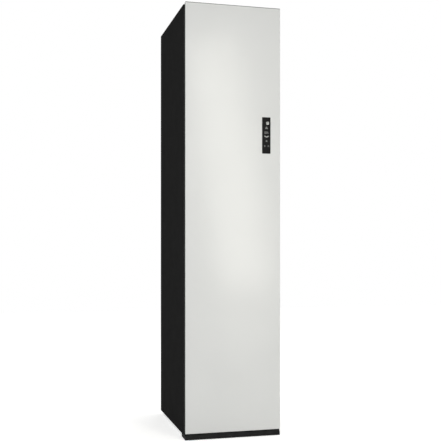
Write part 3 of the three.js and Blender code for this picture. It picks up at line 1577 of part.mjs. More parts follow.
// Control window and board: a touch window set in the glass with the lamps of the board behind it
function controlWindow() {
  return prism("y", rounded(windowX, windowZ, controls.cornerRadius), frontY, glassBack);
}
add("control_window", controlWindow(), blackGlass);
function controlBoard() {
  const y = glassBack + controls.boardBehind;
  const x = [windowX[0] - controls.boardMargin + SEAM, windowX[1] + controls.boardMargin - SEAM];
  const z = [windowZ[0] - controls.boardMargin + SEAM, windowZ[1] + controls.boardMargin - SEAM];
  const board = block(x, [y, y + controls.board], z);
  const middle = (x[0] + x[1]) / 2;
  const pitch = controls.height / (controls.keys + 1);
  const keys = repeat(controls.keys, (i) => {
    return block(
      around(middle, controls.lamp),
      [glassBack, y + controls.board / 2],
      around(windowZ[0] + pitch * (i + 1), controls.lamp),
    );
  });
  const spacers = [z[0], z[1] - controls.lamp].map((low) => {
    return block(x, [y, glassBack + controls.pocketDepth], [low, low + controls.lamp]);
  });
  return join(board, keys, spacers);
}
add("control_board", controlBoard(), boardGreen);

// Hinge brackets: a plate from the casing with a nose over the pivot, a riveted pin and a seat on the casing
function hingeBracket(plateZ, pinTip, seatZ) {
  const nose = circle(pivotX, pivotY, hinge.noseRadius, TURN_STEPS / 2, Math.PI, 2 * Math.PI);
  const right = pivotX - hinge.noseRadius + hinge.tailWidth;
  const outline = [
    ...nose,
    [pivotX + hinge.noseRadius, pivotY + hinge.noseBack],
    [right, pivotY + hinge.noseBack + hinge.tailWidth / 3],
    [right, tailBack],
    [pivotX - hinge.noseRadius, tailBack],
  ];
  const plateTopZ = plateZ + hinge.plate;
  const plate = prism("z", outline, plateZ, plateTopZ);
  const reaching = (z) => [Math.min(plateZ, z), Math.max(plateTopZ, z)];
  const seat = block([pivotX - hinge.noseRadius, right], [tailBack - hinge.seat, tailBack], reaching(seatZ));
  const pin = rod("z", [pivotX, pivotY], hinge.pinRadius, ...reaching(pinTip));
  return join(plate, seat, pin);
}
const topPinTip = recessFloor - hinge.pinReach;
const bottomPinTip = doorBottom + hinge.pinReach;
add("hinge_bracket_top", hingeBracket(topPlateZ, topPinTip, topPlate), bareSteel);
add("hinge_bracket_bottom", hingeBracket(bottomPlateZ, bottomPinTip, bottomPlateZ), bareSteel);

export default cabinet;
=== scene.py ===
# Clothes care steam cabinet: finishes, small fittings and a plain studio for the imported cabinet.
# Metres, +Z up, the door faces -Y. The picture is 441 x 441.
import json
import math

import bpy
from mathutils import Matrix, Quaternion, Vector


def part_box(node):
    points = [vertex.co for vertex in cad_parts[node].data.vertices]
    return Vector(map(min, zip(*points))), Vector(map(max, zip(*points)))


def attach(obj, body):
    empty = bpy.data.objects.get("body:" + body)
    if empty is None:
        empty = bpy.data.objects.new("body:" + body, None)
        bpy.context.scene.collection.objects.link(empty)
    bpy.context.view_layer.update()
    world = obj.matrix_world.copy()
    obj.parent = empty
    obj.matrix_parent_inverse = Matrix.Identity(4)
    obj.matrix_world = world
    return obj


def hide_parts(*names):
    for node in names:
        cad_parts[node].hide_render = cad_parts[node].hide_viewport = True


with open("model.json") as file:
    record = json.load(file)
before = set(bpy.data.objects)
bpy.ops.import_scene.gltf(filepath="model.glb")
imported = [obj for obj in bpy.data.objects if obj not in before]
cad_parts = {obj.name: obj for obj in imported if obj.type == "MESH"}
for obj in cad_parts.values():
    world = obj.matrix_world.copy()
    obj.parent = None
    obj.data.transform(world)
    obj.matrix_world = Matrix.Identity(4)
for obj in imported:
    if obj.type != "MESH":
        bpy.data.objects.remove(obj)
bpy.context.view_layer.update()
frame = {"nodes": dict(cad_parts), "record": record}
nodes = frame["nodes"]
bodies = frame["record"]["behaviour"]["bodies"]
body_of = {name: body for body, names in bodies.items() for name in names}
MM = 0.001


def per_mm(size):
    """The scale of a texture whose pattern repeats about every size millimetres."""
    return 1 / (size * MM)


def linear(hex_colour):
    """An sRGB hex colour as linear red, green, blue and full alpha."""
    value = int(hex_colour.lstrip("#"), 16)
    channels = [(value >> shift & 255) / 255 for shift in (16, 8, 0)]
    return [c / 12.92 if c <= 0.04045 else ((c + 0.055) / 1.055) ** 2.4 for c in channels] + [1.0]


def add_node(tree, kind, inputs=None, **settings):
    """Adds a node with its settings, and fills its inputs from values or from other nodes' outputs."""
    made = tree.nodes.new(kind)
    for name, value in settings.items():
        setattr(made, name, value)
    for name, value in (inputs or {}).items():
        if isinstance(value, bpy.types.NodeSocket):
            tree.links.new(value, made.inputs[name])
        else:
            made.inputs[name].default_value = value
    return made


class Finish:
    """A material on Object coordinates, with its constants on the shader's own sockets."""

    def __init__(self, name, colour, roughness, metallic=0.0, **constants):
        self.material = bpy.data.materials.new(name)
        self.material.use_nodes = True
        self.tree = self.material.node_tree
        self.shader = self.tree.nodes["Principled BSDF"]
        self.place = add_node(self.tree, "ShaderNodeTexCoord").outputs["Object"]
        self.shader.inputs["Base Color"].default_value = linear(colour)
        self.shader.inputs["Roughness"].default_value = roughness
        self.shader.inputs["Metallic"].default_value = metallic
        for socket, value in constants.items():
            self.shader.inputs[socket.replace("_", " ")].default_value = value
        self.normal = None

    def stretched(self, x, y, z):
        """Object coordinates scaled along each axis. A number under 1 draws a pattern out."""
        inputs = {"Vector": self.place, "Scale": (x, y, z)}
        return add_node(self.tree, "ShaderNodeMapping", inputs).outputs[0]

    def noise(self, size, detail=3.0, place=None):
        """A cloudy pattern whose blotches are about size millimetres across."""
        inputs = {"Vector": place or self.place, "Scale": per_mm(size), "Detail": detail}
        return add_node(self.tree, "ShaderNodeTexNoise", inputs).outputs["Fac"]

    def spread(self, value, low, high, start=0.35, end=0.65):
        """A pattern's range brought to another range. Most of a noise lies between 0.35 and 0.65."""
        inputs = {"Value": value, "From Min": start, "From Max": end, "To Min": low, "To Max": high}
        return add_node(self.tree, "ShaderNodeMapRange", inputs).outputs[0]

    def beyond(self, axis, limit, both=True):
        """1 where a point lies further out along an axis than limit millimetres, else 0."""
        split = add_node(self.tree, "ShaderNodeSeparateXYZ", {0: self.place}).outputs[axis]
        if both:
            split = add_node(self.tree, "ShaderNodeMath", {0: split}, operation="ABSOLUTE").outputs[0]
        inputs = {0: split, 1: limit * MM}
        return add_node(self.tree, "ShaderNodeMath", inputs, operation="GREATER_THAN").outputs[0]

    def largest(self, first, second):
        """The larger of two masks."""
        inputs = {0: first, 1: second}
        return add_node(self.tree, "ShaderNodeMath", inputs, operation="MAXIMUM").outputs[0]

    def tint(self, mask, low, high):
        """Colours the surface from low to high, each a colour or another tint, by a mask from 0 to 1."""
        low, high = [linear(c) if isinstance(c, str) else c for c in (low, high)]
        # the Mix node has its two colours at inputs 6 and 7, and its mixed colour at output 2
        inputs = {0: mask, 6: low, 7: high}
        mixed = add_node(self.tree, "ShaderNodeMix", inputs, data_type="RGBA").outputs[2]
        self.tree.links.new(mixed, self.shader.inputs["Base Color"])
        return mixed

    def dull(self, pattern, low, high):
        """Roughness from low to high by a pattern."""
        self.tree.links.new(self.spread(pattern, low, high), self.shader.inputs["Roughness"])

    def relief(self, pattern, depth):
        """A bump whose full height is depth millimetres, on top of any earlier one."""
        inputs = {"Height": pattern, "Distance": depth * MM, "Strength": 1.0}
        if self.normal:
            inputs["Normal"] = self.normal
        self.normal = add_node(self.tree, "ShaderNodeBump", inputs).outputs[0]
        self.tree.links.new(self.normal, self.shader.inputs["Normal"])


# Camera: level, left of the cabinet at chest height, with the shift that the photograph's crop gives
camera_data = bpy.data.cameras.new("camera")
camera_data.lens = 64.85
camera_data.shift_x = 0.0095
camera_data.shift_y = 0.0623
camera = bpy.data.objects.new("camera", camera_data)
camera.location = (-0.9645, -3.7735, 0.8602)
camera.rotation_euler = (math.radians(90), 0, math.radians(-14.315))
bpy.context.scene.collection.objects.link(camera)
bpy.context.scene.camera = camera
bpy.context.scene.view_settings.view_transform = "Standard"

# World: white where the eye, a reflection or clear plastic shows it, and a dimmer even light on surfaces
SKY_LIGHT = 0.56
SKY_SEEN = 1.0
world = bpy.data.worlds.new("studio")
world.use_nodes = True
bpy.context.scene.world = world
sky = world.node_tree
rays = add_node(sky, "ShaderNodeLightPath").outputs
seen = rays["Is Camera Ray"]
for ray in ("Is Glossy Ray", "Is Transmission Ray"):
    seen = add_node(sky, "ShaderNodeMath", {0: seen, 1: rays[ray]}, operation="MAXIMUM").outputs[0]
level = add_node(sky, "ShaderNodeMapRange", {"Value": seen, "To Min": SKY_LIGHT, "To Max": SKY_SEEN})
sky.links.new(level.outputs[0], sky.nodes["Background"].inputs["Strength"])
sky.nodes["Background"].inputs["Color"].default_value = (1, 1, 1, 1)


def softbox(name, place, aim, width, height, radiance, colour="#ffffff", lean=0):
    """A rectangular lamp that faces aim and leans sideways by degrees, from its face's radiance."""
    data = bpy.data.lights.new(name, "AREA")
    data.shape = "RECTANGLE"
    data.size = width
    data.size_y = height
    # a flat lamp's power is its radiance times pi times its area
    data.energy = radiance * math.pi * width * height
    data.color = linear(colour)[:3]
    lamp = bpy.data.objects.new(name, data)
    lamp.location = place
    facing = (Vector(aim) - Vector(place)).to_track_quat("-Z", "Y")
    lamp.rotation_euler = (facing @ Quaternion((0, 0, 1), math.radians(lean))).to_euler()
    lamp.visible_camera = False
    bpy.context.scene.collection.objects.link(lamp)


softbox("front_softbox", (0.43, -1.95, 1.42), (0.09, -0.3, 1.38), 0.34, 1.7, 4.15, "#fffdf3", lean=8)
softbox("low_front_softbox", (0.55, -1.95, 0.34), (0.2, -0.3, 0.34), 0.3, 0.44, 1.3, "#fffdf3", lean=8)
softbox("left_softbox", (-1.5, -1.7, 1.0), (-0.2, -0.25, 1.0), 0.5, 1.2, 4.0)
softbox("right_softbox", (1.9, 0.3, 1.2), (0.22, 0.1, 1.0), 0.7, 1.5, 3.0)
softbox("high_softbox", (-1.6, -3.6, 2.9), (0.0, 0.0, 1.0), 1.8, 1.8, 1.3)
softbox("rear_softbox", (1.6, 3.2, 2.6), (0.0, 0.3, 1.0), 1.8, 1.8, 1.6)

# Floor: a pale seamless sweep that the eye sees as white and that keeps the cabinet's shadow
FLOOR_SIZE = 14
FLOOR_GLOW = 0.5
bpy.ops.mesh.primitive_plane_add(size=FLOOR_SIZE, location=(0, 0, 0))
floor = bpy.context.object
floor.name = "floor"
sweep = Finish("matt_white_vinyl_sweep", "#f2f2f0", 0.9)
sweep.tint(sweep.spread(sweep.noise(90), 0, 1), "#f2f2f0", "#f6f6f4")
rays = add_node(sweep.tree, "ShaderNodeLightPath").outputs
seen = sweep.largest(rays["Is Camera Ray"], rays["Is Glossy Ray"])
glow = add_node(sweep.tree, "ShaderNodeMath", {0: seen, 1: FLOOR_GLOW}, operation="MULTIPLY").outputs[0]
sweep.shader.inputs["Emission Color"].default_value = (1, 1, 1, 1)
sweep.tree.links.new(glow, sweep.shader.inputs["Emission Strength"])
floor.data.materials.append(sweep.material)


# Float glass, back-painted pale warm grey and acid-etched in front: an even satin face, soft reflections
def etched_glass():
    finish = Finish("back_painted_etched_glass", "#d7d8d7", 0.2, IOR=1.52)
    paint = finish.tint(finish.spread(finish.noise(240, 1), 0, 1), "#d6d7d6", "#d8d9d8")
    # the ground rim, past these lines on the sides and top, shows the glass's own green-grey body, and its
    # darker grey is also a painted reflection of the dark that these edges mirror
    rim_side, rim_top = 221.8, 1957.4
    rim = finish.largest(finish.beyond("X", rim_side), finish.beyond("Z", rim_top, both=False))
    # green-grey glass body with a painted reflection of the dark on the rim
    finish.tint(rim, paint, "#aab3ae")
    # etching grain of about 0.1 mm, drawn at 0.8 mm so that it can show from near by
    finish.relief(finish.noise(0.8, 1), 0.0012)
    finish.dull(finish.noise(35), 0.19, 0.21)
    return finish.material


# Clear float glass printed black behind: a deep black face that mirrors the room
def printed_glass():
    finish = Finish("black_printed_touch_glass", "#0c0c0c", 0.09, IOR=1.52, Specular_IOR_Level=0.15)
    finish.tint(finish.spread(finish.noise(30), 0, 1), "#0b0b0b", "#111111")
    finish.dull(finish.noise(14), 0.07, 0.12)
    return finish.material


# Sheet steel with a black polyester powder coat: satin, with a faint orange peel
def powder_coat():
    finish = Finish("black_powder_coated_steel", "#212121", 0.8, IOR=1.5, Specular_IOR_Level=0.004)
    finish.tint(finish.spread(finish.noise(70), 0, 1), "#202020", "#222222")
    # orange peel is about 1.5 mm from crest to crest, drawn at 3 mm
    finish.relief(finish.noise(3.0, 1), 0.008)
    finish.dull(finish.noise(18), 0.77, 0.83)
    return finish.material


# Hot-dip galvanised sheet: grey metal with the zinc's crystals as soft patches
def galvanised():
    finish = Finish("galvanised_sheet_steel", "#9fa3a5", 0.42, 1.0)
    inputs = {"Vector": finish.place, "Scale": per_mm(11)}
    crystals = add_node(finish.tree, "ShaderNodeTexVoronoi", inputs, feature="F1").outputs["Color"]
    grey = add_node(finish.tree, "ShaderNodeSeparateColor", {0: crystals}).outputs[0]
    finish.tint(grey, "#999da0", "#a7abad")
    finish.tree.links.new(finish.spread(grey, 0.38, 0.46, 0, 1), finish.shader.inputs["Roughness"])
    finish.relief(finish.noise(1.2), 0.01)
    return finish.material


# Deep-drawn steel in black stoved enamel: glossy with a fine settled dust on top
def enamel():
    finish = Finish("black_stoved_enamel", "#151515", 0.28, Specular_IOR_Level=0.4)
    finish.tint(finish.spread(finish.noise(24), 0, 1), "#131313", "#1e1e1e")
    finish.relief(finish.noise(2.5, 1), 0.02)
    finish.dull(finish.noise(30), 0.24, 0.4)
    return finish.material


# ABS moulded in a spark-eroded tool: black with a fine even grain; duller on the door's frame, and darker
# there as painted shade of the gaps round the door
def grained_black(
    name="black_grained_abs", dark="#1b1b1b", pale="#202020", specular=0.15, low=0.5, high=0.62
):
    finish = Finish(name, dark, high, IOR=1.54, Specular_IOR_Level=specular)
    finish.tint(finish.spread(finish.noise(45), 0, 1), dark, pale)
    # tool grain of about 0.3 mm, drawn at 1 mm
    finish.relief(finish.noise(1.0, 2), 0.025)
    finish.dull(finish.noise(12), low, high)
    return finish.material


# Glass-filled nylon: hard dull black with pale flecks where fibres reach the surface
def filled_nylon():
    finish = Finish("black_glass_filled_nylon", "#1c1c1d", 0.6, Specular_IOR_Level=0.3)
    fibre = finish.noise(1.6, 4, finish.stretched(1, 1, 0.25))
    finish.tint(finish.spread(fibre, 0, 1, 0.6, 0.8), "#1b1b1c", "#3a3a3b")
    finish.relief(fibre, 0.02)
    finish.dull(finish.noise(8), 0.52, 0.7)
    return finish.material


# ABS liner, vacuum formed: warm light grey, a soft sheen and a slight drag of the grain down the draw
def formed_liner(name="grey_vacuum_formed_abs", rim=None):
    finish = Finish(name, "#a3a39f", 0.4, IOR=1.54)
    grey = finish.tint(finish.spread(finish.noise(160), 0, 1), "#a09f9b", "#a7a7a3")
    if rim:
        # painted shade: the door skin's edge past rim is painted black, for the shade in the gap beside
        # the glass; the door skin's cut edge is wiped black, so that it doesn't show beside the glass
        finish.tint(finish.beyond("X", rim), grey, "#1c1c1c")
    finish.relief(finish.noise(1.6, 2), 0.02)
    finish.relief(finish.noise(60, 1), 0.12)
    finish.dull(finish.noise(40, 2, finish.stretched(1, 1, 0.35)), 0.36, 0.46)
    return finish.material


# ABS moulded grey: the shelf, lids and fan housing, a shade darker than the liner and evenly satin
def moulded_grey():
    finish = Finish("grey_moulded_abs", "#8f908d", 0.42, IOR=1.54)
    finish.tint(finish.spread(finish.noise(80), 0, 1), "#8c8d8a", "#939491")
    finish.relief(finish.noise(1.1, 2), 0.02)
    finish.dull(finish.noise(16), 0.38, 0.48)
    return finish.material


# Acetal: waxy natural white that lets a little light in
def acetal():
    finish = Finish("white_moulded_acetal", "#dededa", 0.35, IOR=1.48, Subsurface_Weight=0.12)
    finish.shader.inputs["Subsurface Radius"].default_value = (0.002, 0.002, 0.002)
    finish.tint(finish.spread(finish.noise(22), 0, 1), "#dadad6", "#e2e2df")
    finish.relief(finish.noise(2.0), 0.01)
    finish.dull(finish.noise(10), 0.3, 0.42)
    return finish.material


# Copolyester, injection moulded in a smoke tint: clear grey walls, polished outside
def smoked_clear():
    finish = Finish("smoked_clear_copolyester", "#7d868a", 0.12, IOR=1.56, Transmission_Weight=0.72)
    finish.tint(finish.spread(finish.noise(60), 0, 1), "#788185", "#828b8f")
    finish.relief(finish.noise(45, 1), 0.05)
    finish.dull(finish.noise(20), 0.09, 0.17)
    return finish.material


# Stainless tube, brushed along its length: fine bright streaks on a grey metal
def brushed_rail():
    finish = Finish("brushed_stainless_steel", "#c3c4c4", 0.28, 1.0)
    streaks = finish.noise(0.8, 3, finish.stretched(0.02, 1, 1))
    finish.tint(finish.spread(streaks, 0, 1), "#b5b6b6", "#cfd0d0")
    finish.relief(streaks, 0.01)
    finish.dull(streaks, 0.22, 0.36)
    return finish.material


# Pressed steel with clear zinc passivation: bluish bright metal with a faint cloud
def zinc_plate():
    finish = Finish("zinc_plated_pressed_steel", "#b9bec2", 0.3, 1.0)
    finish.tint(finish.spread(finish.noise(14), 0, 1), "#adb3b8", "#c6cacc")
    finish.relief(finish.noise(2.2), 0.01)
    finish.dull(finish.noise(9), 0.24, 0.4)
    return finish.material


# Deep-drawn stainless boiler shell: soft grey metal with a faint warm cloud; the weld's heat blueing is
# not drawn
def boiler_shell():
    finish = Finish("drawn_stainless_boiler_steel", "#bcbab6", 0.34, 1.0)
    finish.tint(finish.spread(finish.noise(26), 0, 1), "#b2afaa", "#c6c5c3")
    finish.relief(finish.noise(1.4), 0.01)
    finish.dull(finish.noise(12), 0.28, 0.44)
    return finish.material


# Aluminium fin stack on copper tube: thin bright fin lines across with painted shade between them, and
# copper bends past the end plate
def fin_stack():
    finish = Finish("aluminium_fins_on_copper_tube", "#c9cdd0", 0.36, 1.0)
    # fins sit 1.6 mm apart on the real stack and are drawn at 3.2 mm
    pitch = 3.2
    # a wave texture repeats every pi / 10 of its unit
    inputs = {"Vector": finish.place, "Scale": per_mm(pitch) * math.pi / 10}
    lines = add_node(finish.tree, "ShaderNodeTexWave", inputs, wave_type="BANDS", bands_direction="X")
    lines = lines.outputs["Fac"]
    # painted shade: the darker bands between the fin lines stand for the shade in the gaps between the
    # fins
    fins = finish.tint(lines, "#8e9496", "#d3d7d9")
    # the copper bends lie past the end plate, and no fin lines run over them
    end_plate = -20.3
    copper = finish.beyond("X", end_plate, both=False)
    finish.tint(copper, fins, "#b9764f")
    finish.relief(finish.largest(lines, copper), 0.6)
    finish.dull(finish.noise(20), 0.3, 0.45)
    return finish.material


# Polyurethane foam, poured in place: cream with open cells on its skin
def poured_foam():
    finish = Finish("poured_polyurethane_foam", "#ded5b4", 0.95, Specular_IOR_Level=0.2)
    inputs = {"Vector": finish.place, "Scale": per_mm(2.4)}
    cells = add_node(finish.tree, "ShaderNodeTexVoronoi", inputs)
    finish.tint(finish.spread(finish.noise(50), 0, 1), "#d8cea9", "#e4dcbf")
    finish.relief(cells.outputs["Distance"], 0.4)
    finish.dull(finish.noise(6), 0.88, 1.0)
    return finish.material


# Thermoplastic elastomer, extruded: soft matt dark grey with faint drawing lines
def soft_seal():
    finish = Finish("extruded_elastomer_seal", "#3c3d3d", 0.7, Sheen_Weight=0.15)
    finish.tint(finish.spread(finish.noise(25), 0, 1), "#383939", "#424343")
    finish.relief(finish.noise(1.2, 2, finish.stretched(1, 1, 0.05)), 0.03)
    finish.dull(finish.noise(9), 0.62, 0.8)
    return finish.material


# EPDM rubber: hoses, belt and bush, matt black with a chalky bloom in patches
def black_rubber():
    finish = Finish("black_epdm_rubber", "#1a1a1a", 0.72, Specular_IOR_Level=0.35)
    finish.tint(finish.spread(finish.noise(18), 0, 1), "#171717", "#262626")
    finish.relief(finish.noise(1.0), 0.03)
    finish.dull(finish.noise(7), 0.62, 0.85)
    return finish.material


# Glass-epoxy circuit board in green solder mask: copper paths show as raised, lighter lines
def circuit_board():
    finish = Finish("green_masked_circuit_board", "#1d5538", 0.35, IOR=1.5)
    # paths run round bricks 4 mm long, and a brick is half of the texture's unit
    inputs = {"Vector": finish.place, "Scale": per_mm(4) / 2, "Mortar Size": 0.03}
    paths = add_node(finish.tree, "ShaderNodeTexBrick", inputs).outputs["Fac"]
    finish.tint(paths, "#1a4e33", "#2f7a52")
    finish.relief(paths, 0.04)
    finish.dull(finish.noise(5), 0.3, 0.42)
    return finish.material


# Cold-drawn steel wire, bright nickel plated: a clean mirror line along the bend
def drawn_wire():
    finish = Finish("nickel_plated_drawn_wire", "#c8c6c0", 0.18, 1.0)
    finish.tint(finish.spread(finish.noise(12), 0, 1), "#c0beb8", "#d0cfca")
    finish.dull(finish.noise(5), 0.14, 0.26)
    return finish.material


# Woven polyester screen: pale matt thread, open between the threads
def woven_screen():
    finish = Finish("woven_polyester_screen", "#c9cac8", 0.55, Specular_IOR_Level=0.3)
    finish.tint(finish.spread(finish.noise(8), 0, 1), "#c2c3c1", "#d2d3d1")
    finish.dull(finish.noise(4), 0.5, 0.65)
    return finish.material


# Turned steel in black zinc: small dark screw heads and hinge brackets with a metal sheen
def screw_steel():
    finish = Finish("black_zinc_screw_steel", "#3a3b3d", 0.35, 1.0)
    finish.tint(finish.spread(finish.noise(2.0), 0, 1), "#323335", "#46474a")
    finish.relief(finish.noise(0.5), 0.01)
    finish.dull(finish.noise(1.5), 0.28, 0.45)
    return finish.material


# Opal lamp windows in the touch glass: even soft white marks, some lit and some at rest
def lamp_mark(name, colour, glow):
    finish = Finish(name, colour, 0.4, IOR=1.49)
    finish.tint(finish.spread(finish.noise(3), 0, 0.15), colour, "#ffffff")
    finish.shader.inputs["Emission Color"].default_value = linear(colour)
    finish.shader.inputs["Emission Strength"].default_value = glow
    finish.dull(finish.noise(2), 0.35, 0.5)
    return finish.material


FINISHES = {
    "glass": etched_glass(),
    "touch": printed_glass(),
    "coat": powder_coat(),
    "zinc sheet": galvanised(),
    "enamel": enamel(),
    "black": grained_black(),
    # painted shade: the door's frame and the hinge cap get a darker black than the other ABS, for the
    # shade in the gaps round the door
    "painted shade black": grained_black("deep_grained_black_abs", "#111111", "#151515", 0.04, 0.7, 0.8),
    # the plinth's black ABS is a touch paler and duller than the other grained black
    "plinth black": grained_black("pale_dull_grained_black_abs", "#212121", "#272727", 0.06, 0.7, 0.8),
    "nylon": filled_nylon(),
    "liner": formed_liner(),
    # painted shade: the door skin's edge past 219.5 mm is black
    "door skin": formed_liner("grey_vacuum_formed_abs_with_black_edge", rim=219.5),
    "grey": moulded_grey(),
    "white": acetal(),
    "smoke": smoked_clear(),
    "rail": brushed_rail(),
    "plate": zinc_plate(),
    "boiler": boiler_shell(),
    "fins": fin_stack(),
    "foam": poured_foam(),
    "seal": soft_seal(),
    "rubber": black_rubber(),
    "board": circuit_board(),
    "screw": screw_steel(),
    "wire": drawn_wire(),
    "mesh": woven_screen(),
    "lit mark": lamp_mark("lit_opal_lamp_window", "#c6c7c4", 0.12),
    "resting mark": lamp_mark("resting_opal_lamp_window", "#858684", 0.02),
}
NODE_FINISHES = {
    "coat": "side_panel_left side_panel_right top_cover rear_service_cover header_panel "
    "front_service_panel",
    "zinc sheet": "base_pan rear_panel drive_bridge rail_carriage",
    "enamel": "compressor",
    "rail": "hanger_rail",
    "plate": "motor_pulley drive_motor fan_motor",
    "screw": "hinge_bracket_top hinge_bracket_bottom",
    "boiler": "steam_generator",
    "fins": "evaporator condenser",
    "glass": "door_glass",
    "touch": "control_window",
    "black": "rear_duct steam_vent tank_bay hanger_left hanger_middle hanger_right",
    "plinth black": "front_plinth",
    "painted shade black": "door_stile_hinge door_stile_grip door_rail_top door_rail_bottom",
    "nylon": "foot_front_left foot_front_right foot_rear_left foot_rear_right drain_pump",
    "liner": "chamber_liner",
    "door skin": "door_inner_skin",
    "grey": "shelf fan_housing supply_tank_lid drain_tank_lid",
    "white": "rail_guide crank_pulley fan_wheel aroma_case electronics_box",
    "smoke": "lint_filter supply_tank drain_tank",
    "foam": "foam_jacket door_foam",
    "seal": "door_gasket",
    "rubber": "cord_gland drive_belt steam_hose water_hose",
    "board": "control_board",
}
# The finish of each CAD node, looked up by the node's name
finish_of = {name: finish for finish, names in NODE_FINISHES.items() for name in names.split()}
for name, piece in nodes.items():
    piece.data.materials.clear()
    piece.data.materials.append(FINISHES[finish_of[name]])


# A face looks along an axis when its normal has more than this share along it
FACING = 0.9


def box_mm(name):
    """The low and high corners of a CAD node's box in millimetres."""
    return [[c / MM for c in corner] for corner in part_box(name)]


def select_only(*pieces):
    """Leaves edit mode and makes these the only selected pieces, the first one active."""
    if bpy.context.mode != "OBJECT":
        bpy.ops.object.mode_set(mode="OBJECT")
    bpy.ops.object.select_all(action="DESELECT")
    for piece in pieces:
        piece.select_set(True)
    bpy.context.view_layer.objects.active = pieces[0]


def edit(piece, mode="FACE"):
    """Opens a piece alone in edit mode with nothing selected."""
    select_only(piece)
    bpy.ops.object.mode_set(mode="EDIT")
    bpy.ops.mesh.select_mode(type=mode)
    bpy.ops.mesh.select_all(action="DESELECT")


def pick_faces(piece, test):
    """Selects the faces whose centre and normal pass a test, and nothing else."""
    edit(piece)
    bpy.ops.object.mode_set(mode="OBJECT")
    for face in piece.data.polygons:
        face.select = test(face.center, face.normal)
    bpy.ops.object.mode_set(mode="EDIT")


def pick_edges(piece, test):
    """Selects the edges whose two ends pass a test, and nothing else."""
    edit(piece, "EDGE")
    bpy.ops.object.mode_set(mode="OBJECT")
    points = piece.data.vertices
    for edge in piece.data.edges:
        edge.select = test(*(points[i].co for i in edge.vertices))
    bpy.ops.object.mode_set(mode="EDIT")


def applied(piece, kind, **settings):
    """Adds a modifier with its settings and applies it."""
    select_only(piece)
    modifier = piece.modifiers.new("step", kind)
    for name, value in settings.items():
        setattr(modifier, name, value)
    bpy.ops.object.modifier_apply(modifier=modifier.name)
    return piece


def settled(piece, angle=35):
    """Leaves edit mode, puts a piece's place into its mesh, turns its faces out and shades it by angle."""
    select_only(piece)
    bpy.ops.object.transform_apply(location=True, rotation=True, scale=True)
    edit(piece)
    bpy.ops.mesh.select_all(action="SELECT")
    bpy.ops.mesh.remove_doubles(threshold=0.001 * MM)
    bpy.ops.mesh.normals_make_consistent(inside=False)
    bpy.ops.object.mode_set(mode="OBJECT")
    bpy.ops.object.shade_smooth_by_angle(angle=math.radians(angle))
    return applied(piece, "WEIGHTED_NORMAL", keep_sharp=True)


def bevelled(piece, width, segments, angle):
    """Eases the edges sharper than an angle by width millimetres."""
    settings = {"width": width * MM, "segments": segments, "limit_method": "ANGLE"}
    applied(piece, "BEVEL", angle_limit=math.radians(angle), **settings)


def combined(piece, operation, *tools):
    """Joins tools to a piece or cuts them out of it, and removes them."""
    for tool in tools:
        applied(piece, "BOOLEAN", operation=operation, object=tool, solver="EXACT")
        bpy.data.objects.remove(tool)


def block(name, low, high):
    """A box between two corners in millimetres, its place already in its mesh."""
    centre = [(a + b) / 2 * MM for a, b in zip(low, high)]
    size = [(b - a) * MM for a, b in zip(low, high)]
    bpy.ops.mesh.primitive_cube_add(size=1, location=centre, scale=size)
    piece = bpy.context.object
    piece.name = name
    select_only(piece)
    bpy.ops.object.transform_apply(location=True, rotation=True, scale=True)
    return piece


def disc(name, centre, radius, depth, sides, along="Y"):
    """A short cylinder in millimetres whose axis lies along Y or Z."""
    place = [c * MM for c in centre]
    turn = (math.radians(90), 0, 0) if along == "Y" else (0, 0, 0)
    bpy.ops.mesh.primitive_cylinder_add(
        vertices=sides, radius=radius * MM, depth=depth * MM, location=place, rotation=turn
    )
    piece = bpy.context.object
    piece.name = name
    select_only(piece)
    bpy.ops.object.transform_apply(location=True, rotation=True, scale=True)
    return piece


def joined(name, pieces):
    """Joins finished pieces into one mesh under a name."""
    select_only(*pieces)
    bpy.ops.object.join()
    pieces[0].name = name
    return pieces[0]


def finished(piece, finish, body):
    """Gives a piece its finish and the body that it moves with."""
    piece.data.materials.clear()
    piece.data.materials.append(FINISHES[finish])
    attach(piece, body)


def copies(piece, places):
    """One mesh for each place (mm) that a piece at the origin is copied to."""
    made = []
    for i, place in enumerate(places):
        twin = bpy.data.objects.new(f"{piece.name}_{i + 1}", piece.data.copy())
        bpy.context.scene.collection.objects.link(twin)
        select_only(twin)
        twin.location = [p * MM for p in place]
        bpy.ops.object.transform_apply(location=True, rotation=False, scale=False)
        made.append(twin)
    bpy.data.objects.remove(piece)
    return made


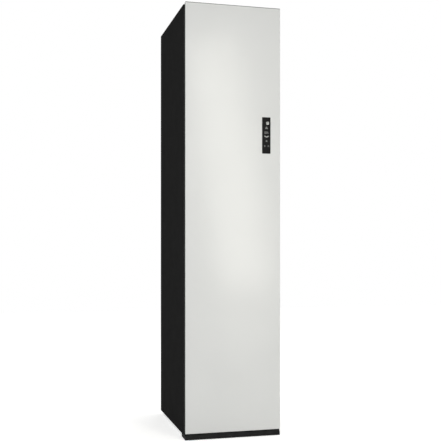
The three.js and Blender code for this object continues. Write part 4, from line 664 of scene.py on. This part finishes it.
# Edge easing (mm) of the CAD forms that are taken over, merged and eased
EASED = {
    "side_panel_left": 0.7,
    "side_panel_right": 0.7,
    "top_cover": 0.5,
    "rear_panel": 0.5,
    "rear_service_cover": 0.4,
    "front_plinth": 1.2,
    "header_panel": 0.4,
    "front_service_panel": 0.4,
    "chamber_liner": 0.6,
    "steam_vent": 0.4,
    "lint_filter": 0.4,
    "aroma_case": 0.6,
    "shelf": 0.8,
    "hanger_rail": 0.5,
    "hanger_left": 2.4,
    "hanger_middle": 2.4,
    "hanger_right": 2.4,
    "tank_bay": 0.6,
    "supply_tank": 0.5,
    "supply_tank_lid": 0.8,
    "drain_tank": 0.5,
    "drain_tank_lid": 0.8,
    "door_stile_hinge": 0.5,
    "door_stile_grip": 0.6,
    "door_rail_top": 0.3,
    "door_rail_bottom": 0.5,
    "door_inner_skin": 1.0,
    "door_gasket": 0.9,
    "hinge_bracket_top": 0.4,
    "hinge_bracket_bottom": 0.4,
    "door_glass": 0.5,
    "base_pan": 0.3,
    "cord_gland": 0.3,
    "foot_front_left": 0.6,
    "foot_front_right": 0.6,
    "foot_rear_left": 0.6,
    "foot_rear_right": 0.6,
    "rear_duct": 0.6,
    "rail_carriage": 0.4,
    "rail_guide": 0.4,
    "drive_bridge": 0.4,
    "drive_motor": 0.6,
    "motor_pulley": 0.3,
    "crank_pulley": 0.4,
    "drive_belt": 0.2,
    "compressor": 0.6,
    "steam_generator": 0.6,
    "fan_housing": 0.6,
    "fan_motor": 0.6,
    "electronics_box": 1.2,
    "drain_pump": 0.6,
    "fan_wheel": 0.2,
    "steam_hose": 0.3,
    "water_hose": 0.3,
    "control_board": 0.2,
    "evaporator": 0.2,
    "condenser": 0.2,
}
# Two faces that meet at more than this angle (degrees) make an edge
SHARP = 50


def eased_copy(name, width):
    """A finished copy of a CAD node: merged, flats joined, edges eased and curves shaded smooth."""
    piece = bpy.data.objects.new(name + "_finished", nodes[name].data.copy())
    bpy.context.scene.collection.objects.link(piece)
    select_only(piece)
    bpy.ops.object.mode_set(mode="EDIT")
    bpy.ops.mesh.select_all(action="SELECT")
    bpy.ops.mesh.remove_doubles(threshold=0.01 * MM)
    bpy.ops.mesh.dissolve_limited(angle_limit=math.radians(0.5))
    bpy.ops.object.mode_set(mode="OBJECT")
    bevelled(piece, width, 2, SHARP)
    bpy.ops.object.shade_smooth_by_angle(angle=math.radians(SHARP))
    applied(piece, "WEIGHTED_NORMAL", keep_sharp=True)
    finished(piece, finish_of[name], body_of[name])
    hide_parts(name)
    return piece


eased = {name: eased_copy(name, width) for name, width in EASED.items()}


# Hangers: the bent wire above the moulded shoulders is a piece of its own, in bright steel
def wire_hook(name):
    shoulders = eased[name]
    # height where the wire leaves the shoulders
    neck = 1729.6
    pick_faces(shoulders, lambda centre, normal: centre.z > neck * MM)
    bpy.ops.mesh.separate(type="SELECTED")
    bpy.ops.object.mode_set(mode="OBJECT")
    hook = [piece for piece in bpy.context.selected_objects if piece is not shoulders][0]
    hook.name = name.replace("hanger", "hook")
    for part in (shoulders, hook):
        edit(part, "EDGE")
        bpy.ops.mesh.select_non_manifold()
        bpy.ops.mesh.fill_holes(sides=0)
        settled(part, SHARP)
    finished(hook, "wire", body_of[name])
    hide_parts(name)


for name in ("hanger_left", "hanger_middle", "hanger_right"):
    wire_hook(name)

# Touch pane: the black glass window in the door, set a hair behind the door's face
pane_low, pane_high = box_mm("control_window")
PANE_SETBACK = 0.2
PANE_CORNER = 3
PANE_RIM = 0.4
PANE_EDGE = 0.25
MARK_DEPTH = 0.12
MARK_FRONT = pane_low[1] + 0.06
# share of a bar's smaller side
MARK_CORNER = 0.3


def touch_pane():
    pane = block("touch_pane", [pane_low[0], pane_low[1] + PANE_SETBACK, pane_low[2]], pane_high)
    pick_edges(pane, lambda a, b: abs(a.y - b.y) > MM)
    bpy.ops.mesh.bevel(offset=PANE_CORNER * MM, segments=6)
    pick_faces(pane, lambda centre, normal: normal.y < -FACING)
    bpy.ops.mesh.inset(thickness=PANE_RIM * MM)
    bevelled(pane, PANE_EDGE, 2, 60)
    finished(settled(pane), "touch", "door")
    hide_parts("control_window")


touch_pane()


# Marks on the pane, each a thin opal window
def mark_place(across, up):
    """The centre of a mark that sits across and up (mm) from the pane's low corner."""
    return (pane_low[0] + across, MARK_FRONT + MARK_DEPTH / 2, pane_low[2] + up)


def bar_mark(name, across, up, width, height, lean=0.0, point=0.0):
    """A bar with round or pointed ends, leaning by an angle in degrees."""
    centre = mark_place(across, up)
    reach = (width / 2, MARK_DEPTH / 2, height / 2)
    low = [c - r for c, r in zip(centre, reach)]
    high = [c + r for c, r in zip(centre, reach)]
    bar = block(name, low, high)
    pick_edges(bar, lambda a, b: abs(a.y - b.y) > MARK_DEPTH * MM / 2)
    corner = point or min(width, height) * MARK_CORNER
    bpy.ops.mesh.bevel(offset=corner * MM, segments=1 if point else 4)
    if lean:
        pivot = [c * MM for c in centre]
        bpy.ops.mesh.select_all(action="SELECT")
        bpy.ops.transform.rotate(value=math.radians(lean), orient_axis="Y", center_override=pivot)
    return settled(bar)


def ring_mark(name, across, up, radius, width, sides=24):
    """A closed ring, or a hollow triangle with three sides."""
    ring = disc(name, mark_place(across, up), radius, MARK_DEPTH, sides)
    pick_faces(ring, lambda centre, normal: abs(normal.y) > FACING)
    bpy.ops.mesh.inset(thickness=width * MM)
    bpy.ops.mesh.bridge_edge_loops()
    return settled(ring)


MARK_COLUMN = 21
SEGMENT_LENGTH = 4.2
SEGMENT_WIDTH = 1.1
SEGMENT_GAP = 0.2
SEGMENT_POINT = 0.45
DIGIT_PITCH = 6.6
# the seven bars of a digit: bar lengths across and up from its middle, and whether the bar stands up
SEGMENTS = {
    "top": (0, 1, False),
    "middle": (0, 0, False),
    "bottom": (0, -1, False),
    "upper_left": (-0.5, 0.5, True),
    "upper_right": (0.5, 0.5, True),
    "lower_left": (-0.5, -0.5, True),
    "lower_right": (0.5, -0.5, True),
}
DIGITS = {
    0: "top bottom upper_left upper_right lower_left lower_right",
    3: "top middle bottom upper_right lower_right",
    5: "top middle bottom upper_left lower_right",
}


def digit_mark(number, across, up):
    """The bars of one digit."""
    step = SEGMENT_LENGTH + SEGMENT_GAP
    bars = []
    for bar in DIGITS[number].split():
        steps_x, steps_z, upright = SEGMENTS[bar]
        width, height = (SEGMENT_WIDTH, SEGMENT_LENGTH) if upright else (SEGMENT_LENGTH, SEGMENT_WIDTH)
        place = (across + steps_x * step, up + steps_z * step)
        bars.append(bar_mark("digit_bar", *place, width, height, point=SEGMENT_WIDTH * SEGMENT_POINT))
    return bars


def power_key():
    """A lit square with a ring and a stem cut through it."""
    across, up = 26, 139
    key = bar_mark("power_key_window", across, up, width=12.5, height=13.5)
    ring = ring_mark("power_key_ring", across, up, radius=4.2, width=1.1)
    stem = bar_mark("power_key_stem", across, 142.2, width=1.2, height=4.4)
    for cutter in (ring, stem):
        # thickened, so that it cuts right through
        applied(cutter, "DISPLACE", strength=MARK_DEPTH * MM, mid_level=0.0)
        combined(key, "DIFFERENCE", cutter)
    finished(key, "lit mark", "door")


def time_digits():
    """Three digits on one line."""
    across, up = 14, 95.5
    bars = []
    for i, number in enumerate((0, 3, 5)):
        bars += digit_mark(number, across + i * DIGIT_PITCH, up)
    finished(joined("time_digits", bars), "resting mark", "door")


def start_mark():
    """Two bars that meet in an arrow head."""
    up, half_span, overlap, lean = 77.5, 5.4, 0.9, 30
    # near 2 / cos(lean) times the half span
    length = half_span * 2.31
    arms = []
    for side in (-1, 1):
        across = MARK_COLUMN + side * (half_span - overlap)
        arms.append(bar_mark("start_mark", across, up, length, 2.6, lean=side * lean))
    combined(arms[0], "UNION", arms[1])
    finished(arms[0], "lit mark", "door")


power_key()
finished(ring_mark("steam_mark", MARK_COLUMN, 117, radius=7.5, width=2.2, sides=3), "resting mark", "door")
time_digits()
start_mark()
finished(ring_mark("lock_mark", MARK_COLUMN, 57.5, radius=3.4, width=2.0), "resting mark", "door")
for i, across in enumerate((12.5, 30)):
    choice = ring_mark(f"choice_mark_{i + 1}", across, 34.5, radius=3.2, width=1.0)
    finished(choice, "resting mark", "door")


# Hinge cap: a moulded cover over the top hinge, round the pin and back to the casing
def hinge_cap():
    # the door_swing joint's axis
    pin_x, pin_y = -206.5, -288
    outer, inner = 14.6, 9.2
    low, plate_top, high = 1941.5, 1952.3, 1959.6
    tail_left, tail_right, tail_back = -214.4, -186.8, -266
    # the cutters reach past the cap
    under = low - 1
    well_middle, well_depth = (under + plate_top) / 2, plate_top - under
    gap_left, gap_right, gap_back = -216.5, -180, -260
    cap = disc("hinge_cap", (pin_x, pin_y, (low + high) / 2), outer, high - low, 64, "Z")
    tail = block("hinge_cap_tail", (tail_left, pin_y, plate_top), (tail_right, tail_back, high))
    well = disc("hinge_cap_well", (pin_x, pin_y, well_middle), inner, well_depth, 48, "Z")
    gap = block("hinge_cap_gap", (gap_left, pin_y, under), (gap_right, gap_back, plate_top))
    combined(cap, "UNION", tail)
    combined(cap, "DIFFERENCE", well, gap)
    bevelled(cap, 0.8, 3, SHARP)
    # the cap takes the door frame's black, darkened as painted shade
    finished(settled(cap, SHARP), "painted shade black", "cabinet")


hinge_cap()


# Lint screens: woven cloth welded inside the basket's front and back walls
def lint_screen(name, y):
    half_width, bottom, top = 72, 254, 331
    width, height = 2 * half_width, top - bottom
    pitch, thread = 2.4, 0.5
    bpy.ops.mesh.primitive_grid_add(
        x_subdivisions=round(width / pitch), y_subdivisions=round(height / pitch), size=1
    )
    screen = bpy.context.object
    screen.name = name
    screen.location = (0, y * MM, (bottom + top) / 2 * MM)
    screen.rotation_euler = (math.radians(90), 0, 0)
    screen.scale = (width * MM, height * MM, 1)
    select_only(screen)
    bpy.ops.object.transform_apply(location=True, rotation=True, scale=True)
    applied(screen, "WIREFRAME", thickness=thread * MM, use_boundary=True, use_even_offset=False)
    finished(settled(screen, 60), "mesh", "lint_filter")


lint_screen("lint_screen_front", -39.6)
lint_screen("lint_screen_back", -0.4)


# Post covers: an oval plate with a collar on each rail post, which closes the slot in the chamber's roof
def post_covers():
    rail_y, post_x, post_radius = -20, 118, 7.2
    roof, below_roof = 1848, 1.5
    plate, half_length, half_width = 2, 34, 13
    corner = half_width - 0.5
    collar, collar_wall = 8, 2.5
    # the collar starts inside the plate
    sunk = 1
    cover = block("rail_post_cover", (-half_length, -half_width, -plate), (half_length, half_width, 0))
    pick_edges(cover, lambda a, b: abs(a.z - b.z) > MM)
    bpy.ops.mesh.bevel(offset=corner * MM, segments=10)
    bpy.ops.object.mode_set(mode="OBJECT")
    middle = -plate - collar / 2 + sunk / 2
    neck = disc("neck", (0, 0, middle), post_radius + collar_wall, collar + sunk, 40, "Z")
    combined(cover, "UNION", neck)
    bore = disc("bore", (0, 0, -collar / 2), post_radius, 3 * collar, 40, "Z")
    combined(cover, "DIFFERENCE", bore)
    bevelled(cover, 0.5, 2, SHARP)
    places = [(side * post_x, rail_y, roof - below_roof) for side in (-1, 1)]
    for piece in copies(settled(cover, 40), places):
        finished(piece, "grey", "rail")


post_covers()


# Level marks: five raised bars up each tank's front wall
def level_marks(tank):
    low = box_mm(tank)[0]
    from_side, from_floor, rise = 14, 36, 25
    full_width, short_width, height = 12, 7.2, 1.8
    relief, off_wall = 0.35, 0.02
    corner = height * 0.4
    bars = []
    for step in range(5):
        x, z = low[0] + from_side, low[2] + from_floor + step * rise
        width = full_width if step % 2 == 0 else short_width
        bar = block("level_bar", (x, low[1] - relief, z), (x + width, low[1] - off_wall, z + height))
        pick_edges(bar, lambda a, b: abs(a.y - b.y) > relief * MM / 2)
        bpy.ops.mesh.bevel(offset=corner * MM, segments=3)
        bars.append(settled(bar))
    finished(joined(tank + "_level_marks", bars), "white", tank)


for tank in ("supply_tank", "drain_tank"):
    level_marks(tank)


# Door seal: a soft fold runs round the face that meets the cabinet
def seal_fold():
    seal = eased["door_gasket"]
    lip, slope, depth = 2.2, 0.9, 1.6
    face = max(v.co.y for v in seal.data.vertices)
    pick_faces(seal, lambda centre, normal: normal.y > FACING and centre.y > face - 0.05 * MM)
    bpy.ops.mesh.inset(thickness=lip * MM)
    bpy.ops.mesh.inset(thickness=slope * MM, depth=-depth * MM)
    settled(seal, SHARP)


seal_fold()


# Pan-head screws: one head with a cross recess, copied along the rear seams
def pan_head():
    radius, height, rounding = 4.2, 2.4, 1.1
    arm, slot, depth = 2.3, 0.5, 1.2
    head = disc("pan_head", (0, height / 2, 0), radius, height, 24)
    bevelled(head, rounding, 3, 60)
    for x, z in ((arm, slot), (slot, arm)):
        combined(head, "DIFFERENCE", block("recess_arm", (-x, height - depth, -z), (x, height + 1, z)))
    return settled(head, 40)


def rear_screws():
    cover_low, cover_high = box_mm("rear_service_cover")
    panel_low, panel_high = box_mm("rear_panel")
    sheet = 1.5
    cover_face = cover_low[1] + sheet
    panel_face = panel_low[1] + sheet
    lap = 5
    cover_side = cover_high[0] - lap
    cover_heights = (60, (cover_low[2] + cover_high[2]) / 2, 296)
    places = [(side * cover_side, cover_face, z) for side in (-1, 1) for z in cover_heights]
    places += [(0, cover_face, cover_low[2] + lap), (0, cover_face, cover_high[2] - lap)]
    from_side, from_end, rows = 10, 40, 6
    panel_side = panel_high[0] - from_side
    rise = (panel_high[2] - panel_low[2] - 2 * from_end) / (rows - 1)
    panel_heights = [panel_low[2] + from_end + rise * row for row in range(rows)]
    places += [(side * panel_side, panel_face, z) for side in (-1, 1) for z in panel_heights]
    for screw in copies(pan_head(), places):
        finished(screw, "screw", "cabinet")


rear_screws()


# Cord gland: a notched collar round the bush, with a tapered mouth
def gland_collar():
    low, high = box_mm("cord_gland")
    x, z = (low[0] + high[0]) / 2, (low[2] + high[2]) / 2
    radius, depth, bore = (high[0] - low[0]) / 2, 3, 4.5
    mouth = 2
    sides, sides_per_notch, notch_depth = 48, 4, 0.9
    collar = disc("gland_collar", (x, high[1] - depth / 2, z), radius, depth, sides)
    pick_faces(collar, lambda centre, normal: abs(normal.y) > FACING)
    bpy.ops.mesh.inset(thickness=(radius - bore - mouth) * MM)
    bpy.ops.mesh.inset(thickness=mouth * MM)
    bpy.ops.mesh.bridge_edge_loops()

    def notch(centre, normal):
        from_x, from_z = centre.x - x * MM, centre.z - z * MM
        side = math.atan2(from_z, from_x) / (2 * math.pi) * sides - 0.5
        on_rim = math.hypot(from_x, from_z) > (radius - 0.5) * MM
        return on_rim and abs(normal.y) < 1 - FACING and round(side) % sides_per_notch == 0

    pick_faces(collar, notch)
    bpy.ops.mesh.extrude_region_shrink_fatten(TRANSFORM_OT_shrink_fatten={"value": -notch_depth * MM})
    bpy.ops.object.mode_set(mode="OBJECT")
    bevelled(collar, 0.25, 2, 40)
    finished(settled(collar), "nylon", "cabinet")


gland_collar()
